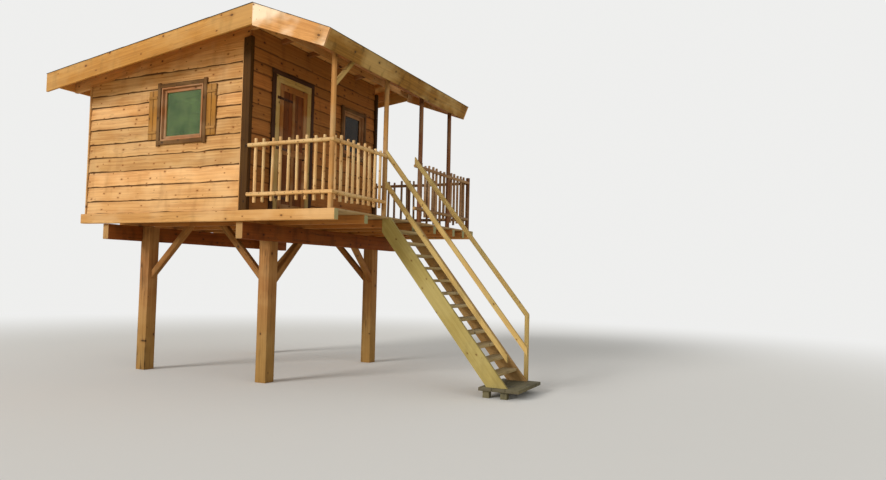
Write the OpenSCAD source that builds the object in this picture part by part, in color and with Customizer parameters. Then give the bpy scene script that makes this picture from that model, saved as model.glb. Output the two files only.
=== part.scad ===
// Timber tree house: a lap-sided cabin with an open porch on a raised deck, under an uneven saddle roof.
// Millimetres. X runs towards the porch and the stair, Y from the near wall to the far one, Z up.
// The origin is on the ground, under the middle of the outline.

/* [Deck] */
// Height of the deck's top above the ground
deck_height = 2550; // [2300:10:2800]
// Length of the deck, from its back edge to the porch edge
deck_length = 4970; // [4700:10:5300]
// Width of the deck along the porch
deck_width = 4670; // [4500:10:5000]
// Distance that the deck's back edge stands behind the cabin
deck_back_margin = 90; // [60:5:200]
// Distance that the deck's near edge stands outside the near wall
deck_side_margin = 27; // [20:1:60]
// Thickness of a deck board
deck_board_t = 28; // [22:1:45]
// Side of the square openings in the deck and the roof that a trunk grows through
trunk_gap = 400; // [360:5:430]
// Distance from the cabin's front wall to the middle of the trunk at the deck
trunk_out = 435; // [380:5:600]
// Distance from the near wall to the middle of the trunk
trunk_along = 3392; // [3380:1:3400]
// Distance that the trunk leans out between the deck and the roof
trunk_lean = 235; // [200:5:400]
// Width of a joist
joist_w = 100; // [75:5:120]
// Depth of a joist
joist_h = 125; // [100:5:175]

/* [Posts, beams and braces] */
// Side of a square post
post_size = 200; // [180:5:220]
// Width of a main beam
beam_w = 125; // [100:5:140]
// Depth of a main beam
beam_h = 245; // [200:5:300]
// Distance from the deck's edge to the end of a main beam
beam_inset = 85; // [40:5:150]
// Distance from the cabin's front wall back to the middle of the front posts
front_post_back = 220; // [190:5:240]
// Distance between the middles of the back and front posts
post_span_x = 2550; // [2400:10:2600]
// Distance from the near wall to the middle of the near posts
near_post_in = 820; // [780:5:860]
// Distance between the middles of the near and far posts
post_span_y = 2980; // [2900:10:3020]
// Distance that the front beam stands out past the faces of the front posts
front_beam_proud = 45; // [20:5:60]
// Depth that the back beam is let into the back posts
back_beam_let_in = 20; // [10:5:50]
// Distance from the middle of a post to the middle of the joist over it
joist_off_post = 50; // [0:5:60]
// Depth of a knee brace
brace_h = 100; // [80:5:120]
// Thickness of a knee brace
brace_t = 85; // [60:5:100]
// Height at which the knee braces leave the posts
brace_foot = 1590; // [1500:10:1700]

/* [Cabin] */
// Length of the cabin, from its back wall to its front wall
cabin_length = 3325; // [3200:5:3450]
// Width of the cabin along the porch
cabin_width = 3500; // [3300:10:3520]
// Thickness of a wall with its boards
wall_t = 95; // [80:5:120]
// Height that each lap board shows
lap_pitch = 214; // [180:1:240]
// Thickness of a lap board at its lower edge
lap_thick = 22; // [16:1:28]
// Thickness of a lap board at its upper edge
lap_thin = 8; // [5:1:12]
// Width of the front corner posts on the side walls
corner_post_w = 115; // [95:5:150]
// Distance that the front corner posts stand out past the front wall
corner_front_proud = 35; // [20:1:50]
// Width of the back corner posts on the side walls
back_corner_w = 80; // [60:5:120]
// Distance that a corner post stands proud of the boards
corner_proud = 12; // [5:1:20]

/* [Windows] */
// Width of the side window over its casing
side_win_w = 1004; // [900:2:1100]
// Height of the side window over its casing
side_win_h = 978; // [800:2:1050]
// Distance from the front wall back to the middle of the side window
side_win_back = 1283; // [1200:1:1800]
// Height of the middle of the side window above the deck
side_win_up = 1506; // [1400:2:1560]
// Width of the porch window over its casing
porch_win_w = 780; // [650:2:850]
// Height of the porch window over its casing
porch_win_h = 920; // [700:2:950]
// Distance from the near wall to the middle of the porch window
porch_win_along = 2732; // [2500:1:2800]
// Height of the middle of the porch window above the deck
porch_win_up = 1610; // [1500:2:1640]
// Width of a casing board
casing_w = 80; // [60:2:100]
// Distance that a casing stands proud of the boards
casing_proud = 24; // [16:1:30]
// Thickness of the lining inside a window opening
lining_t = 22; // [16:1:30]
// Width of a sash bar
sash_w = 50; // [40:1:60]
// Depth of a sash bar
sash_d = 40; // [30:1:50]
// Thickness of a pane
pane_t = 6; // [4:1:10]
// Width of a shutter
shutter_w = 188; // [150:2:220]
// Height of a shutter
shutter_h = 760; // [600:5:850]
// Thickness of a shutter
shutter_t = 24; // [18:1:30]

/* [Door] */
// Width of the door frame
door_frame_w = 872; // [820:2:950]
// Height of the door frame above the deck
door_frame_h = 2125; // [2000:5:2150]
// Distance from the near wall to the near edge of the door frame
door_frame_along = 580; // [520:2:650]
// Width of a door jamb
jamb_w = 95; // [80:1:110]
// Height of the door head
door_head_h = 107; // [90:1:120]
// Distance that the door frame stands proud of the boards
frame_proud = 20; // [15:1:30]
// Thickness of the door leaf
leaf_t = 45; // [38:1:50]
// Gap between the leaf and the jambs and head
leaf_gap = 6; // [5:1:8]
// Gap between the leaf and the jamb at the hinges
hinge_gap = 10; // [10:1:14]
// Gap under the leaf
leaf_foot_gap = 10; // [8:1:20]
// Width of the stop that the leaf closes against
stop_w = 24; // [18:1:30]
// Width of the trim boards beside the door frame
trim_w = 75; // [60:1:90]
// Height of the trim board over the door frame
trim_head_h = 70; // [60:1:90]
// Distance that the hinge pin stands in front of the leaf
pin_out = 6; // [6:0.5:9]
// Radius of a hinge knuckle
knuckle_r = 7; // [6:0.5:7]
// Radius of a hinge pin
pin_r = 3.5; // [2.5:0.5:4]
// Clearance round a hinge pin
pin_clear = 0.4; // [0.2:0.1:0.6]
// Length of a hinge knuckle
knuckle_l = 15; // [10:1:25]
// Height of the middle of each hinge above the deck
hinge_up = [260, 1010, 1780];
// Length of a strap hinge on the leaf
strap_l = 300; // [200:10:400]
// Width of a strap hinge
strap_w = 36; // [30:1:50]
// Thickness of the hinge plates
strap_t = 4; // [3:0.5:5]
// Height of the handle above the deck
handle_up = 1010; // [950:5:1100]
// Length of the handle
handle_l = 200; // [150:5:250]
// Distance from the leaf's free edge to the handle
handle_in = 75; // [60:5:100]
// Distance that the handle stands out from the leaf
handle_out = 45; // [35:1:60]
// Radius of the handle's grip
grip_r = 9; // [7:0.5:12]

/* [Roof] */
// Height of the ridge above the deck
ridge_up = 2778; // [2700:2:2950]
// Distance of the ridge in front of the cabin's front wall
ridge_out = 425; // [350:5:500]
// Pitch of the long slope that falls to the back, in degrees
back_pitch = 7.1; // [5:0.1:8.5]
// Pitch of the short slope that falls over the porch, in degrees
front_pitch = 22; // [16:0.5:24]
// Distance of the roof's back edge behind the cabin
back_overhang = 474; // [400:2:550]
// Distance of the roof's front edge outside the deck's front edge
eave_past_deck = 147; // [100:1:200]
// Distance of the roof's near and far edges outside the side walls
side_overhang = 455; // [350:5:500]
// Fitting gap where sloping faces meet
fit_gap = 0.2; // [0.1:0.05:0.5]
// Thickness of the roofing
cover_t = 8; // [5:1:15]
// Distance that the roofing stands past the fascia boards
cover_lip = 10; // [5:1:20]
// Thickness of the roof boards
roof_board_t = 22; // [18:1:30]
// Width of a rafter
rafter_w = 60; // [45:5:70]
// Depth of a rafter over the cabin
rafter_h = 180; // [150:5:200]
// Depth that is left of the cabin rafters in front of the porch wall
rafter_tail_h = 70; // [50:5:90]
// Distance from the porch wall to where the cabin rafters get shallower
rafter_tail_out = 20; // [10:5:60]
// Depth of a rafter over the porch
porch_rafter_h = 120; // [95:5:140]
// Thickness of the ridge board
ridge_board_t = 40; // [30:1:50]
// Depth of the ridge board
ridge_board_h = 250; // [200:5:280]
// Number of rafters from side wall to side wall
rafter_count = 6; // [4:1:8]
// Thickness of a fascia board
fascia_t = 35; // [25:1:40]
// Height of the rake fascia boards at the ridge
rake_h = 288; // [250:2:320]
// Height of the porch rake boards at their lower end
rake_end_h = 245; // [220:5:260]
// Height of the fascia board along the porch eave
eave_board_h = 248; // [220:2:270]
// Height of the fascia board along the back eave
back_eave_h = 180; // [160:2:240]

/* [Porch] */
// Diameter of a porch post
pole_d = 78; // [65:1:90]
// Distance from the deck's front edge back to the middle of the porch posts
pole_in = 100; // [60:5:120]
// Distance from the near wall to the middle of each porch post; the stair's near side starts at the second
pole_along = [22, 1419, 2567, 3673];
// Width of the header over the porch posts
header_w = 90; // [70:2:100]
// Depth of the header
header_h = 130; // [120:2:140]
// Depth that the rafters are notched over the header
header_seat = 24; // [15:1:35]
// Side of the brace at the first porch post
pole_brace = 52; // [40:1:60]
// Reach of the brace at the first porch post
pole_brace_reach = 430; // [350:5:500]

/* [Railings] */
// Height of the top rail above the deck
rail_up = 927; // [850:1:1000]
// Height of the low rail above the deck
low_rail_up = 225; // [180:1:280]
// Diameter of a rail pole
rail_d = 58; // [45:1:65]
// Diameter of a baluster pole
baluster_d = 48; // [35:1:55]
// Distance between two balusters
baluster_pitch = 147; // [130:1:170]
// Length of a baluster past the rails at its top
baluster_past_top = 105; // [80:1:120]
// Length of a baluster past the low rail at its foot
baluster_past_foot = 120; // [80:1:140]
// Depth that each baluster is let into the rails
let_in = 8; // [4:1:12]
// Distance from the deck's edge to the middle of the walkway rails
walkway_rail_in = 70; // [60:1:100]
// Distance between the corner post of the walkway and the next post
walkway_first_bay = 1295; // [1200:5:1500]

/* [Stair] */
// Width of the stair over its stringers
stair_w = 880; // [800:5:950]
// Thickness of a stringer
stringer_t = 50; // [40:1:60]
// Width of a stringer plank
stringer_h = 240; // [220:5:280]
// Number of risers between the foot board and the deck
riser_count = 13; // [12:1:14]
// Horizontal run from the deck's edge to the toe of the stringers
stair_run = 1932; // [1850:5:2050]
// Depth of a tread
tread_d = 220; // [180:5:240]
// Thickness of a tread
tread_t = 40; // [30:1:50]
// Top of the foot board above the ground
foot_top = 150; // [120:5:200]
// Thickness of the foot board
foot_t = 50; // [40:1:60]
// Depth of the foot board
foot_d = 600; // [500:10:700]
// Distance that the foot board stands out past each stringer
foot_margin = 50; // [30:5:100]
// Distance that the foot board runs back under the stringers' feet
foot_back = 100; // [50:5:150]
// Side of the blocks under the foot board
foot_block = 95; // [80:5:120]
// Depth of a stair rail
stair_rail_h = 68; // [50:1:80]
// Thickness of a stair rail
stair_rail_t = 45; // [35:1:50]
// Height of the near top rail over the stringer's edge
near_rail_up = 884; // [800:1:950]
// Height of the near low rail over the stringer's edge
near_low_rail_up = 414; // [350:1:450]
// Height of the far rail over the stringer's edge
far_rail_up = 935; // [850:1:1000]
// Distance that the near top rail runs on past the toe of the stringers
near_rail_past = 290; // [200:5:320]

/* [Hidden] */
$fn = 48;
far_away = 20000;

// Places of the deck and the cabin, before the whole house is moved over its origin
front_x = 75;
back_x = front_x - cabin_length;
deck_x0 = back_x - deck_back_margin;
deck_x1 = deck_x0 + deck_length;
deck_y0 = -deck_side_margin;
deck_y1 = deck_y0 + deck_width;
joist_top = deck_height - deck_board_t;
joist_foot = joist_top - joist_h;
beam_foot = joist_foot - beam_h;
front_post_x = front_x - front_post_back;
back_post_x = front_post_x - post_span_x;
near_post_y = near_post_in;
far_post_y = near_post_y + post_span_y;
back_beam_x0 = back_post_x - post_size / 2 + back_beam_let_in - beam_w;
front_beam_x0 = front_post_x + post_size / 2 + front_beam_proud - beam_w;

// Roof lines
roof_x0 = back_x - back_overhang;
roof_x1 = deck_x1 + eave_past_deck;
roof_y0 = -side_overhang;
roof_y1 = cabin_width + side_overhang;
ridge_x = front_x + ridge_out;
ridge_height = deck_height + ridge_up;
back_fall = tan(back_pitch);
front_fall = tan(front_pitch);
under_cover = cover_t + fit_gap;
under_boards = under_cover + roof_board_t;
rafter_top = under_boards + fit_gap;
under_rafters = rafter_top + rafter_h + fit_gap;
under_porch_rafters = rafter_top + porch_rafter_h;
rafter_y0 = lap_thick;
rafter_y1 = cabin_width - lap_thick - rafter_w;

// Door places
jamb_y0 = door_frame_along + jamb_w;
jamb_y1 = door_frame_along + door_frame_w - jamb_w;
door_face_x = front_x + frame_proud;
leaf_y0 = jamb_y0 + hinge_gap;
leaf_y1 = jamb_y1 - leaf_gap;
leaf_z0 = deck_height + leaf_foot_gap;
leaf_z1 = deck_height + door_frame_h - door_head_h - leaf_gap;
pin_x = door_face_x + pin_out;
pin_y = jamb_y0 + hinge_gap / 2;
knuckle_gap = pin_clear;

// Porch and stair places
pole_x = deck_x1 - pole_in;
header_z1 = roof_under(pole_x, under_porch_rafters) + header_seat;
header_z0 = header_z1 - header_h;
header_up = header_z0 - deck_height;
walkway_y = deck_y1 - walkway_rail_in;
walkway_x0 = deck_x0 + walkway_rail_in;
stair_y0 = pole_along[1];
stair_y1 = stair_y0 + stair_w;
stair_fall = (deck_height - foot_top) / stair_run;
stair_pitch = atan(stair_fall);
riser = (deck_height - foot_top) / riser_count;
toe_x = deck_x1 + stair_run;
stringer_level = stringer_h / sin(stair_pitch);
far_rail_y0 = stair_y1;
far_rail_y1 = far_rail_y0 + stair_rail_t;
near_rail_y0 = pole_along[1] - stair_rail_t / 2;
newel_w = 60;
newel_x = toe_x - newel_w;
walkway_posts = [
  pole_x - walkway_first_bay,
  (pole_x - walkway_first_bay + walkway_x0) / 2,
  walkway_x0
];
trunk_x = front_x + trunk_out;
rafter_clear = 20;

// Joists stand under both edges, over the posts, beside the stringers and midway beyond them
far_rim_y = deck_y1 - joist_w / 2;
far_post_joist_y = far_post_y - joist_off_post;
joist_y = [
  deck_y0 + joist_w / 2,
  near_post_y - joist_off_post,
  stair_y0 + stringer_t + joist_w / 2,
  stair_y1 - stringer_t - joist_w / 2,
  (stair_y1 - stringer_t - joist_w / 2 + far_post_joist_y) / 2,
  far_post_joist_y,
  (far_post_joist_y + far_rim_y) / 2,
  far_rim_y
];

// The outline's middle, which the origin stands under
outline_x0 = roof_x0 - cover_lip;
outline_x1 = toe_x + near_rail_past;
outline_y0 = roof_y0 - cover_lip;
outline_y1 = deck_y1;

function roof_top(x) = ridge_height - (x < ridge_x ? (ridge_x - x) * back_fall : (x - ridge_x) * front_fall);
function drop(x, t) = t / cos(x < ridge_x ? back_pitch : front_pitch);
function roof_under(x, t) = roof_top(x) - drop(x, t);
function stair_edge(x) = deck_height - (x - deck_x1) * stair_fall;
function rafter_y(i) = rafter_y0 + i * (rafter_y1 - rafter_y0) / (rafter_count - 1);
outer_rafters = [roof_y0 + fascia_t, roof_y1 - fascia_t - rafter_w];
cabin_rafter_ys = concat(outer_rafters, [for (i = [0 : rafter_count - 1]) rafter_y(i)]);
// Over the porch the last rafter moves out past the trunk
porch_rafter_ys = concat(
  outer_rafters,
  [for (i = [0 : rafter_count - 2]) rafter_y(i)],
  [trunk_along + trunk_gap / 2 + rafter_clear]
);

module in_place() {
  translate([-(outline_x0 + outline_x1) / 2, -(outline_y0 + outline_y1) / 2, 0]) children();
}

// A box between two corners
module block(lo, hi) {
  translate(lo) cube(hi - lo);
}

// A shape drawn in X and Z, made solid from y0 to y1
module along_y(y0, y1) {
  translate([0, y1, 0]) rotate([90, 0, 0]) linear_extrude(y1 - y0) children();
}

// A shape drawn in Y and Z, made solid from x0 to x1
module along_x(x0, x1) {
  translate([x0, 0, 0]) rotate([90, 0, 90]) linear_extrude(x1 - x0) children();
}

// A frame of bars drawn flat about its middle
module flat_ring(w, h, bar) {
  difference() {
    square([w, h], center = true);
    square([w - 2 * bar, h - 2 * bar], center = true);
  }
}

// Everything under the roof at a depth t below its top
module under_roof(t) {
  along_y(-far_away, far_away) polygon([
    [roof_x0 - far_away, 0],
    [roof_x0 - far_away, roof_under(roof_x0 - far_away, t)],
    [ridge_x - fit_gap, roof_under(ridge_x - fit_gap, t)],
    [ridge_x - fit_gap, 0]
  ]);
}

// Posts, each notched on its outer side so that the beam sits on a shoulder beside a tongue
module notched_post(x, y, beam_x0) {
  difference() {
    block([x - post_size / 2, y - post_size / 2, 0], [x + post_size / 2, y + post_size / 2, joist_foot]);
    block([beam_x0, y - post_size, beam_foot], [beam_x0 + beam_w, y + post_size, joist_foot + post_size]);
  }
}

module posts() {
  color("peru") in_place() {
    for (y = [near_post_y, far_post_y]) {
      notched_post(back_post_x, y, back_beam_x0);
      notched_post(front_post_x, y, front_beam_x0);
    }
  }
}

module beams() {
  color("saddlebrown") in_place() {
    for (x = [back_beam_x0, front_beam_x0]) {
      block([x, deck_y0 + beam_inset, beam_foot], [x + beam_w, deck_y1 - beam_inset, joist_foot]);
    }
  }
}

// A knee brace drawn flat: it leaves the post at brace_foot and rises at 45 degrees to the height top
module brace_outline(top) {
  half = brace_h * sqrt(2) / 2;
  rise = top - brace_foot;
  polygon([
    [0, brace_foot - half],
    [rise + half, top],
    [rise - half, top],
    [0, brace_foot + half]
  ]);
}

module brace_along_x(x, y, way, top) {
  translate([x + way * post_size / 2, 0, 0])
    mirror([way < 0 ? 1 : 0, 0, 0])
      along_y(y - brace_t / 2, y + brace_t / 2) brace_outline(top);
}

module brace_along_y(x, y, way, top) {
  translate([0, y + way * post_size / 2, 0])
    mirror([0, way < 0 ? 1 : 0, 0])
      along_x(x - brace_t / 2, x + brace_t / 2) brace_outline(top);
}

module knee_braces() {
  beam_brace_x = front_post_x + (post_size - brace_t) / 2;
  color("sienna") in_place() {
    for (y = [near_post_y, far_post_y]) {
      brace_along_x(back_post_x, y, 1, joist_foot);
      brace_along_x(front_post_x, y, -1, joist_foot);
    }
    brace_along_y(beam_brace_x, near_post_y, 1, beam_foot);
    brace_along_y(beam_brace_x, far_post_y, -1, beam_foot);
  }
}

module joists() {
  color("chocolate") in_place() {
    for (y = joist_y) {
      block([deck_x0, y - joist_w / 2, joist_foot], [deck_x1, y + joist_w / 2, joist_top]);
    }
  }
}

// A square shaft that the trunk passes through
module trunk_shaft(x, z0, z1) {
  half = trunk_gap / 2;
  block([x - half, trunk_along - half, z0], [x + half, trunk_along + half, z1]);
}

// The boards lie close, so they are drawn as one floor
module deck_boards() {
  color("burlywood") in_place() difference() {
    block([deck_x0, deck_y0, joist_top], [deck_x1, deck_y1, deck_height]);
    trunk_shaft(trunk_x, joist_foot, header_z0);
  }
}

// Wall profile: a plain core with lap boards outside, the outer face of the boards at 0
module lap_profile() {
  count = ceil((ridge_height - deck_height) / lap_pitch);
  laps = [for (i = [0 : count - 1]) each [
    [0, deck_height + i * lap_pitch],
    [lap_thin - lap_thick, deck_height + (i + 1) * lap_pitch]
  ]];
  polygon(concat([[-wall_t, deck_height]], laps, [[-wall_t, deck_height + count * lap_pitch]]));
}

module wall_along_x(x0, x1, face_y, outward) {
  intersection() {
    translate([0, face_y, 0]) mirror([0, outward < 0 ? 1 : 0, 0]) along_x(x0, x1) lap_profile();
    under_roof(under_rafters);
  }
}

module wall_along_y(y0, y1, face_x, outward) {
  difference() {
    intersection() {
      translate([face_x, 0, 0]) mirror([outward < 0 ? 1 : 0, 0, 0]) along_y(y0, y1) lap_profile();
      under_roof(rafter_top);
    }
    rafter_bars(cabin_rafter_ys, 0, under_rafters, roof_x0, ridge_x);
  }
}

module near_wall() {
  color("sandybrown") in_place() difference() {
    wall_along_x(back_x + back_corner_w - corner_proud, front_x - corner_post_w, 0, -1);
    translate([front_x - side_win_back, 0, deck_height + side_win_up])
      along_y(-wall_t, 2 * wall_t) square([side_win_w - 2 * casing_w, side_win_h - 2 * casing_w], center = true);
  }
}

module far_wall() {
  color("sandybrown") in_place()
    wall_along_x(back_x + back_corner_w - corner_proud, front_x - corner_post_w, cabin_width, 1);
}

module back_wall() {
  color("sandybrown") in_place() wall_along_y(wall_t, cabin_width - wall_t, back_x, -1);
}

module front_wall_by_corner() {
  color("saddlebrown") in_place() wall_along_y(wall_t, door_frame_along, front_x, 1);
}

module front_wall_over_door() {
  color("saddlebrown") in_place() difference() {
    wall_along_y(door_frame_along, door_frame_along + door_frame_w, front_x, 1);
    block(
      [front_x - 2 * wall_t, 0, deck_height - wall_t],
      [front_x + wall_t, cabin_width, deck_height + door_frame_h]
    );
  }
}

module front_wall_by_window() {
  color("saddlebrown") in_place() difference() {
    wall_along_y(door_frame_along + door_frame_w, cabin_width - wall_t, front_x, 1);
    translate([0, porch_win_along, deck_height + porch_win_up])
      along_x(front_x - 2 * wall_t, front_x + wall_t)
        square([porch_win_w - 2 * casing_w, porch_win_h - 2 * casing_w], center = true);
  }
}

module corner_posts() {
  color("#3a2318") in_place() intersection() {
    for (y = [-corner_proud, cabin_width - wall_t]) {
      block(
        [front_x - corner_post_w, y, deck_height],
        [front_x + corner_front_proud, y + wall_t + corner_proud, ridge_height]
      );
      block(
        [back_x - corner_proud, y, deck_height],
        [back_x - corner_proud + back_corner_w, y + wall_t + corner_proud, ridge_height]
      );
    }
    under_roof(under_rafters);
  }
}

// A window drawn flat about its middle: casing outside, lining through the wall, sash inside it.
// It is made solid along depth, with the outer face of the boards at 0 and the room at minus values.
module window_frame(w, h) {
  opening_w = w - 2 * casing_w;
  opening_h = h - 2 * casing_w;
  linear_extrude(casing_proud) flat_ring(w, h, casing_w);
  translate([0, 0, -wall_t]) linear_extrude(wall_t + casing_proud) flat_ring(opening_w, opening_h, lining_t);
  translate([0, 0, -sash_d - lap_thick]) linear_extrude(sash_d)
    flat_ring(opening_w - 2 * lining_t, opening_h - 2 * lining_t, sash_w);
}

module window_pane(w, h) {
  edge = casing_w + lining_t + sash_w;
  translate([0, 0, -lap_thick - sash_d / 2 - pane_t / 2]) linear_extrude(pane_t)
    square([w - 2 * edge, h - 2 * edge], center = true);
}

module at_side_window() {
  translate([front_x - side_win_back, 0, deck_height + side_win_up]) rotate([90, 0, 0]) children();
}

module at_porch_window() {
  translate([front_x, porch_win_along, deck_height + porch_win_up]) rotate([90, 0, 90]) children();
}

module side_window_frame() {
  color("#5a4030") in_place() at_side_window() window_frame(side_win_w, side_win_h);
}

module side_window_pane() {
  color("lightblue") in_place() at_side_window() window_pane(side_win_w, side_win_h);
}

module side_window_shutters() {
  color("sienna") in_place() at_side_window() {
    for (way = [-1, 1]) {
      translate([way * (side_win_w + shutter_w) / 2, 0, 0]) linear_extrude(shutter_t)
        square([shutter_w, shutter_h], center = true);
    }
  }
}

module porch_window_frame() {
  color("#5a4030") in_place() at_porch_window() window_frame(porch_win_w, porch_win_h);
}

module porch_window_pane() {
  color("lightblue") in_place() at_porch_window() window_pane(porch_win_w, porch_win_h);
}

// Dark boards beside and over the door frame, laid on the lap boards
module door_trim() {
  y0 = door_frame_along;
  y1 = door_frame_along + door_frame_w;
  color("#33201a") in_place() along_x(front_x, front_x + casing_proud) difference() {
    translate([y0 - trim_w, deck_height]) square([y1 - y0 + 2 * trim_w, door_frame_h + trim_head_h]);
    translate([y0, deck_height - trim_w]) square([y1 - y0, door_frame_h + trim_w]);
  }
}

module door_frame() {
  y0 = door_frame_along;
  stop_x1 = door_face_x - leaf_t - leaf_gap;
  color("#7a6238") in_place() {
    along_x(front_x - wall_t, door_face_x) difference() {
      translate([y0, deck_height]) square([door_frame_w, door_frame_h]);
      translate([jamb_y0, deck_height - jamb_w]) square([jamb_y1 - jamb_y0, door_frame_h + jamb_w - door_head_h]);
    }
    along_x(front_x - wall_t, stop_x1) difference() {
      translate([jamb_y0, deck_height]) square([jamb_y1 - jamb_y0, door_frame_h - door_head_h]);
      translate([jamb_y0 + stop_w, deck_height - stop_w])
        square([jamb_y1 - jamb_y0 - 2 * stop_w, door_frame_h - door_head_h]);
    }
  }
}

module door_leaf() {
  color("#7a3b22") in_place()
    block([door_face_x - leaf_t, leaf_y0, leaf_z0], [door_face_x, leaf_y1, leaf_z1]);
}

// A strap on the leaf with the middle knuckle, which turns on the pin
module door_straps() {
  for (up = hinge_up) {
    translate([0, 0, deck_height + up]) difference() {
      union() {
        translate([pin_x, pin_y, -knuckle_l / 2]) cylinder(h = knuckle_l, r = knuckle_r);
        block([door_face_x, pin_y, -knuckle_l / 2], [door_face_x + strap_t, pin_y + 2 * knuckle_r, knuckle_l / 2]);
        block(
          [door_face_x, pin_y + knuckle_r + pin_clear, -strap_w / 2],
          [door_face_x + strap_t, pin_y + strap_l, strap_w / 2]
        );
      }
      translate([pin_x, pin_y, -knuckle_l]) cylinder(h = 2 * knuckle_l, r = pin_r + pin_clear);
    }
  }
}

// A plate on the jamb with the outer knuckles and the pin
module hinge_plates() {
  reach = 1.5 * knuckle_l + knuckle_gap;
  plate_w = jamb_w * 0.7;
  color("#2b2b2b") in_place() for (up = hinge_up) {
    translate([0, 0, deck_height + up]) {
      translate([pin_x, pin_y, -reach]) cylinder(h = 2 * reach, r = pin_r);
      for (z = [-reach, reach - knuckle_l]) {
        translate([pin_x, pin_y, z]) cylinder(h = knuckle_l, r = knuckle_r);
        block([door_face_x, pin_y - 2 * knuckle_r, z], [door_face_x + strap_t, pin_y, z + knuckle_l]);
      }
      block(
        [door_face_x, pin_y - plate_w, -reach],
        [door_face_x + strap_t, pin_y - knuckle_r - pin_clear, reach]
      );
    }
  }
}

module door_handle() {
  y = leaf_y1 - handle_in;
  z = deck_height + handle_up;
  for (side = [-1, 1]) {
    translate([door_face_x, y, z + side * (handle_l / 2 - grip_r)]) rotate([0, 90, 0]) {
      cylinder(h = handle_out, r = grip_r);
      cylinder(h = strap_t, r = 2 * grip_r);
    }
  }
  translate([door_face_x + handle_out, y, z - handle_l / 2]) cylinder(h = handle_l, r = grip_r);
}

module door_hardware() {
  color("#2b2b2b") in_place() {
    door_straps();
    door_handle();
  }
}

// Rafters between the depths t0 and t1 below the roof's top, drawn from the side from x0 to x1
module rafter_bars(ys, t0, t1, x0, x1) {
  middle = (x0 + x1) / 2;
  for (y = ys) {
    along_y(y, y + rafter_w) polygon([
      [x0, roof_top(x0) - drop(middle, t1)],
      [x1, roof_top(x1) - drop(middle, t1)],
      [x1, roof_top(x1) - drop(middle, t0)],
      [x0, roof_top(x0) - drop(middle, t0)]
    ]);
  }
}

// The cabin rafters are cut shallower between the porch wall and the ridge board
module cabin_rafters() {
  tail_x = front_x + rafter_tail_out;
  tail_under = rafter_top + rafter_tail_h;
  color("peru") in_place() difference() {
    rafter_bars(
      cabin_rafter_ys, rafter_top, rafter_top + rafter_h,
      roof_x0 + fascia_t, ridge_x - ridge_board_t / 2
    );
    along_y(roof_y0, roof_y1) polygon([
      [tail_x, deck_height],
      [tail_x, roof_under(tail_x, tail_under)],
      [ridge_x, roof_under(ridge_x - fit_gap, tail_under)],
      [ridge_x, deck_height]
    ]);
  }
}

module porch_rafters() {
  color("peru") in_place() difference() {
    rafter_bars(
      porch_rafter_ys, rafter_top, under_porch_rafters,
      ridge_x + ridge_board_t / 2, roof_x1 - fascia_t
    );
    header_block();
  }
}

// The board along the ridge that both sets of rafters meet
module ridge_board() {
  x0 = ridge_x - ridge_board_t / 2;
  x1 = ridge_x + ridge_board_t / 2;
  foot = ridge_height - ridge_board_h;
  color("peru") in_place() along_y(roof_y0 + fascia_t, roof_y1 - fascia_t) polygon([
    [x0, foot],
    [x0, roof_under(x0, rafter_top)],
    [ridge_x, ridge_height - rafter_top / cos(back_pitch)],
    [ridge_x, ridge_height - rafter_top / cos(front_pitch)],
    [x1, roof_under(x1, rafter_top)],
    [x1, foot]
  ]);
}

// A sheet over both slopes, between the depths t0 and t1 below the roof's top
module roof_sheet(x0, x1, y0, y1, t0, t1) {
  back_t0 = t0 / cos(back_pitch);
  back_t1 = t1 / cos(back_pitch);
  front_t0 = t0 / cos(front_pitch);
  front_t1 = t1 / cos(front_pitch);
  ridge_t0 = min(back_t0, front_t0);
  ridge_t1 = max(back_t1, front_t1);
  along_y(y0, y1) polygon([
    [x0, roof_top(x0) - back_t1],
    [ridge_x, ridge_height - back_t1],
    [ridge_x, ridge_height - ridge_t1],
    [x1, roof_top(x1) - front_t1],
    [x1, roof_top(x1) - front_t0],
    [ridge_x, ridge_height - front_t0],
    [ridge_x, ridge_height - ridge_t0],
    [x0, roof_top(x0) - back_t0]
  ]);
}

module roof_boards() {
  x0 = roof_x0 + fascia_t;
  x1 = roof_x1 - fascia_t;
  color("tan") in_place() difference() {
    roof_sheet(x0, x1, roof_y0 + fascia_t, roof_y1 - fascia_t, under_cover, under_boards);
    trunk_shaft(trunk_x + trunk_lean, deck_height, 2 * ridge_height);
  }
}

module roofing() {
  x0 = roof_x0 - cover_lip;
  x1 = roof_x1 + cover_lip;
  color("#2f2b28") in_place() difference() {
    roof_sheet(x0, x1, roof_y0 - cover_lip, roof_y1 + cover_lip, 0, cover_t);
    trunk_shaft(trunk_x + trunk_lean, deck_height, 2 * ridge_height);
  }
}

// The two boards at one gable: they meet at the ridge, and the porch board ends square to its length
module rake_pair(y) {
  back_top = drop(roof_x0, under_cover);
  front_top = drop(roof_x1, under_cover);
  end_z = roof_top(roof_x1) - front_top;
  x1 = ridge_x + fit_gap;
  along_y(y, y + fascia_t) {
    polygon([
      [roof_x0, roof_top(roof_x0) - back_top],
      [roof_x0, roof_top(roof_x0) - back_top - rake_h / cos(back_pitch)],
      [ridge_x, ridge_height - back_top - rake_h / cos(back_pitch)],
      [ridge_x, ridge_height - back_top]
    ]);
    polygon([
      [x1, roof_top(x1) - front_top],
      [x1, roof_top(x1) - front_top - rake_h / cos(front_pitch)],
      [roof_x1 - rake_end_h * sin(front_pitch), end_z - rake_end_h * cos(front_pitch)],
      [roof_x1, end_z]
    ]);
  }
}

module near_rake_boards() {
  color("sandybrown") in_place() rake_pair(roof_y0);
}

module far_rake_boards() {
  color("sandybrown") in_place() rake_pair(roof_y1 - fascia_t);
}

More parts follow.
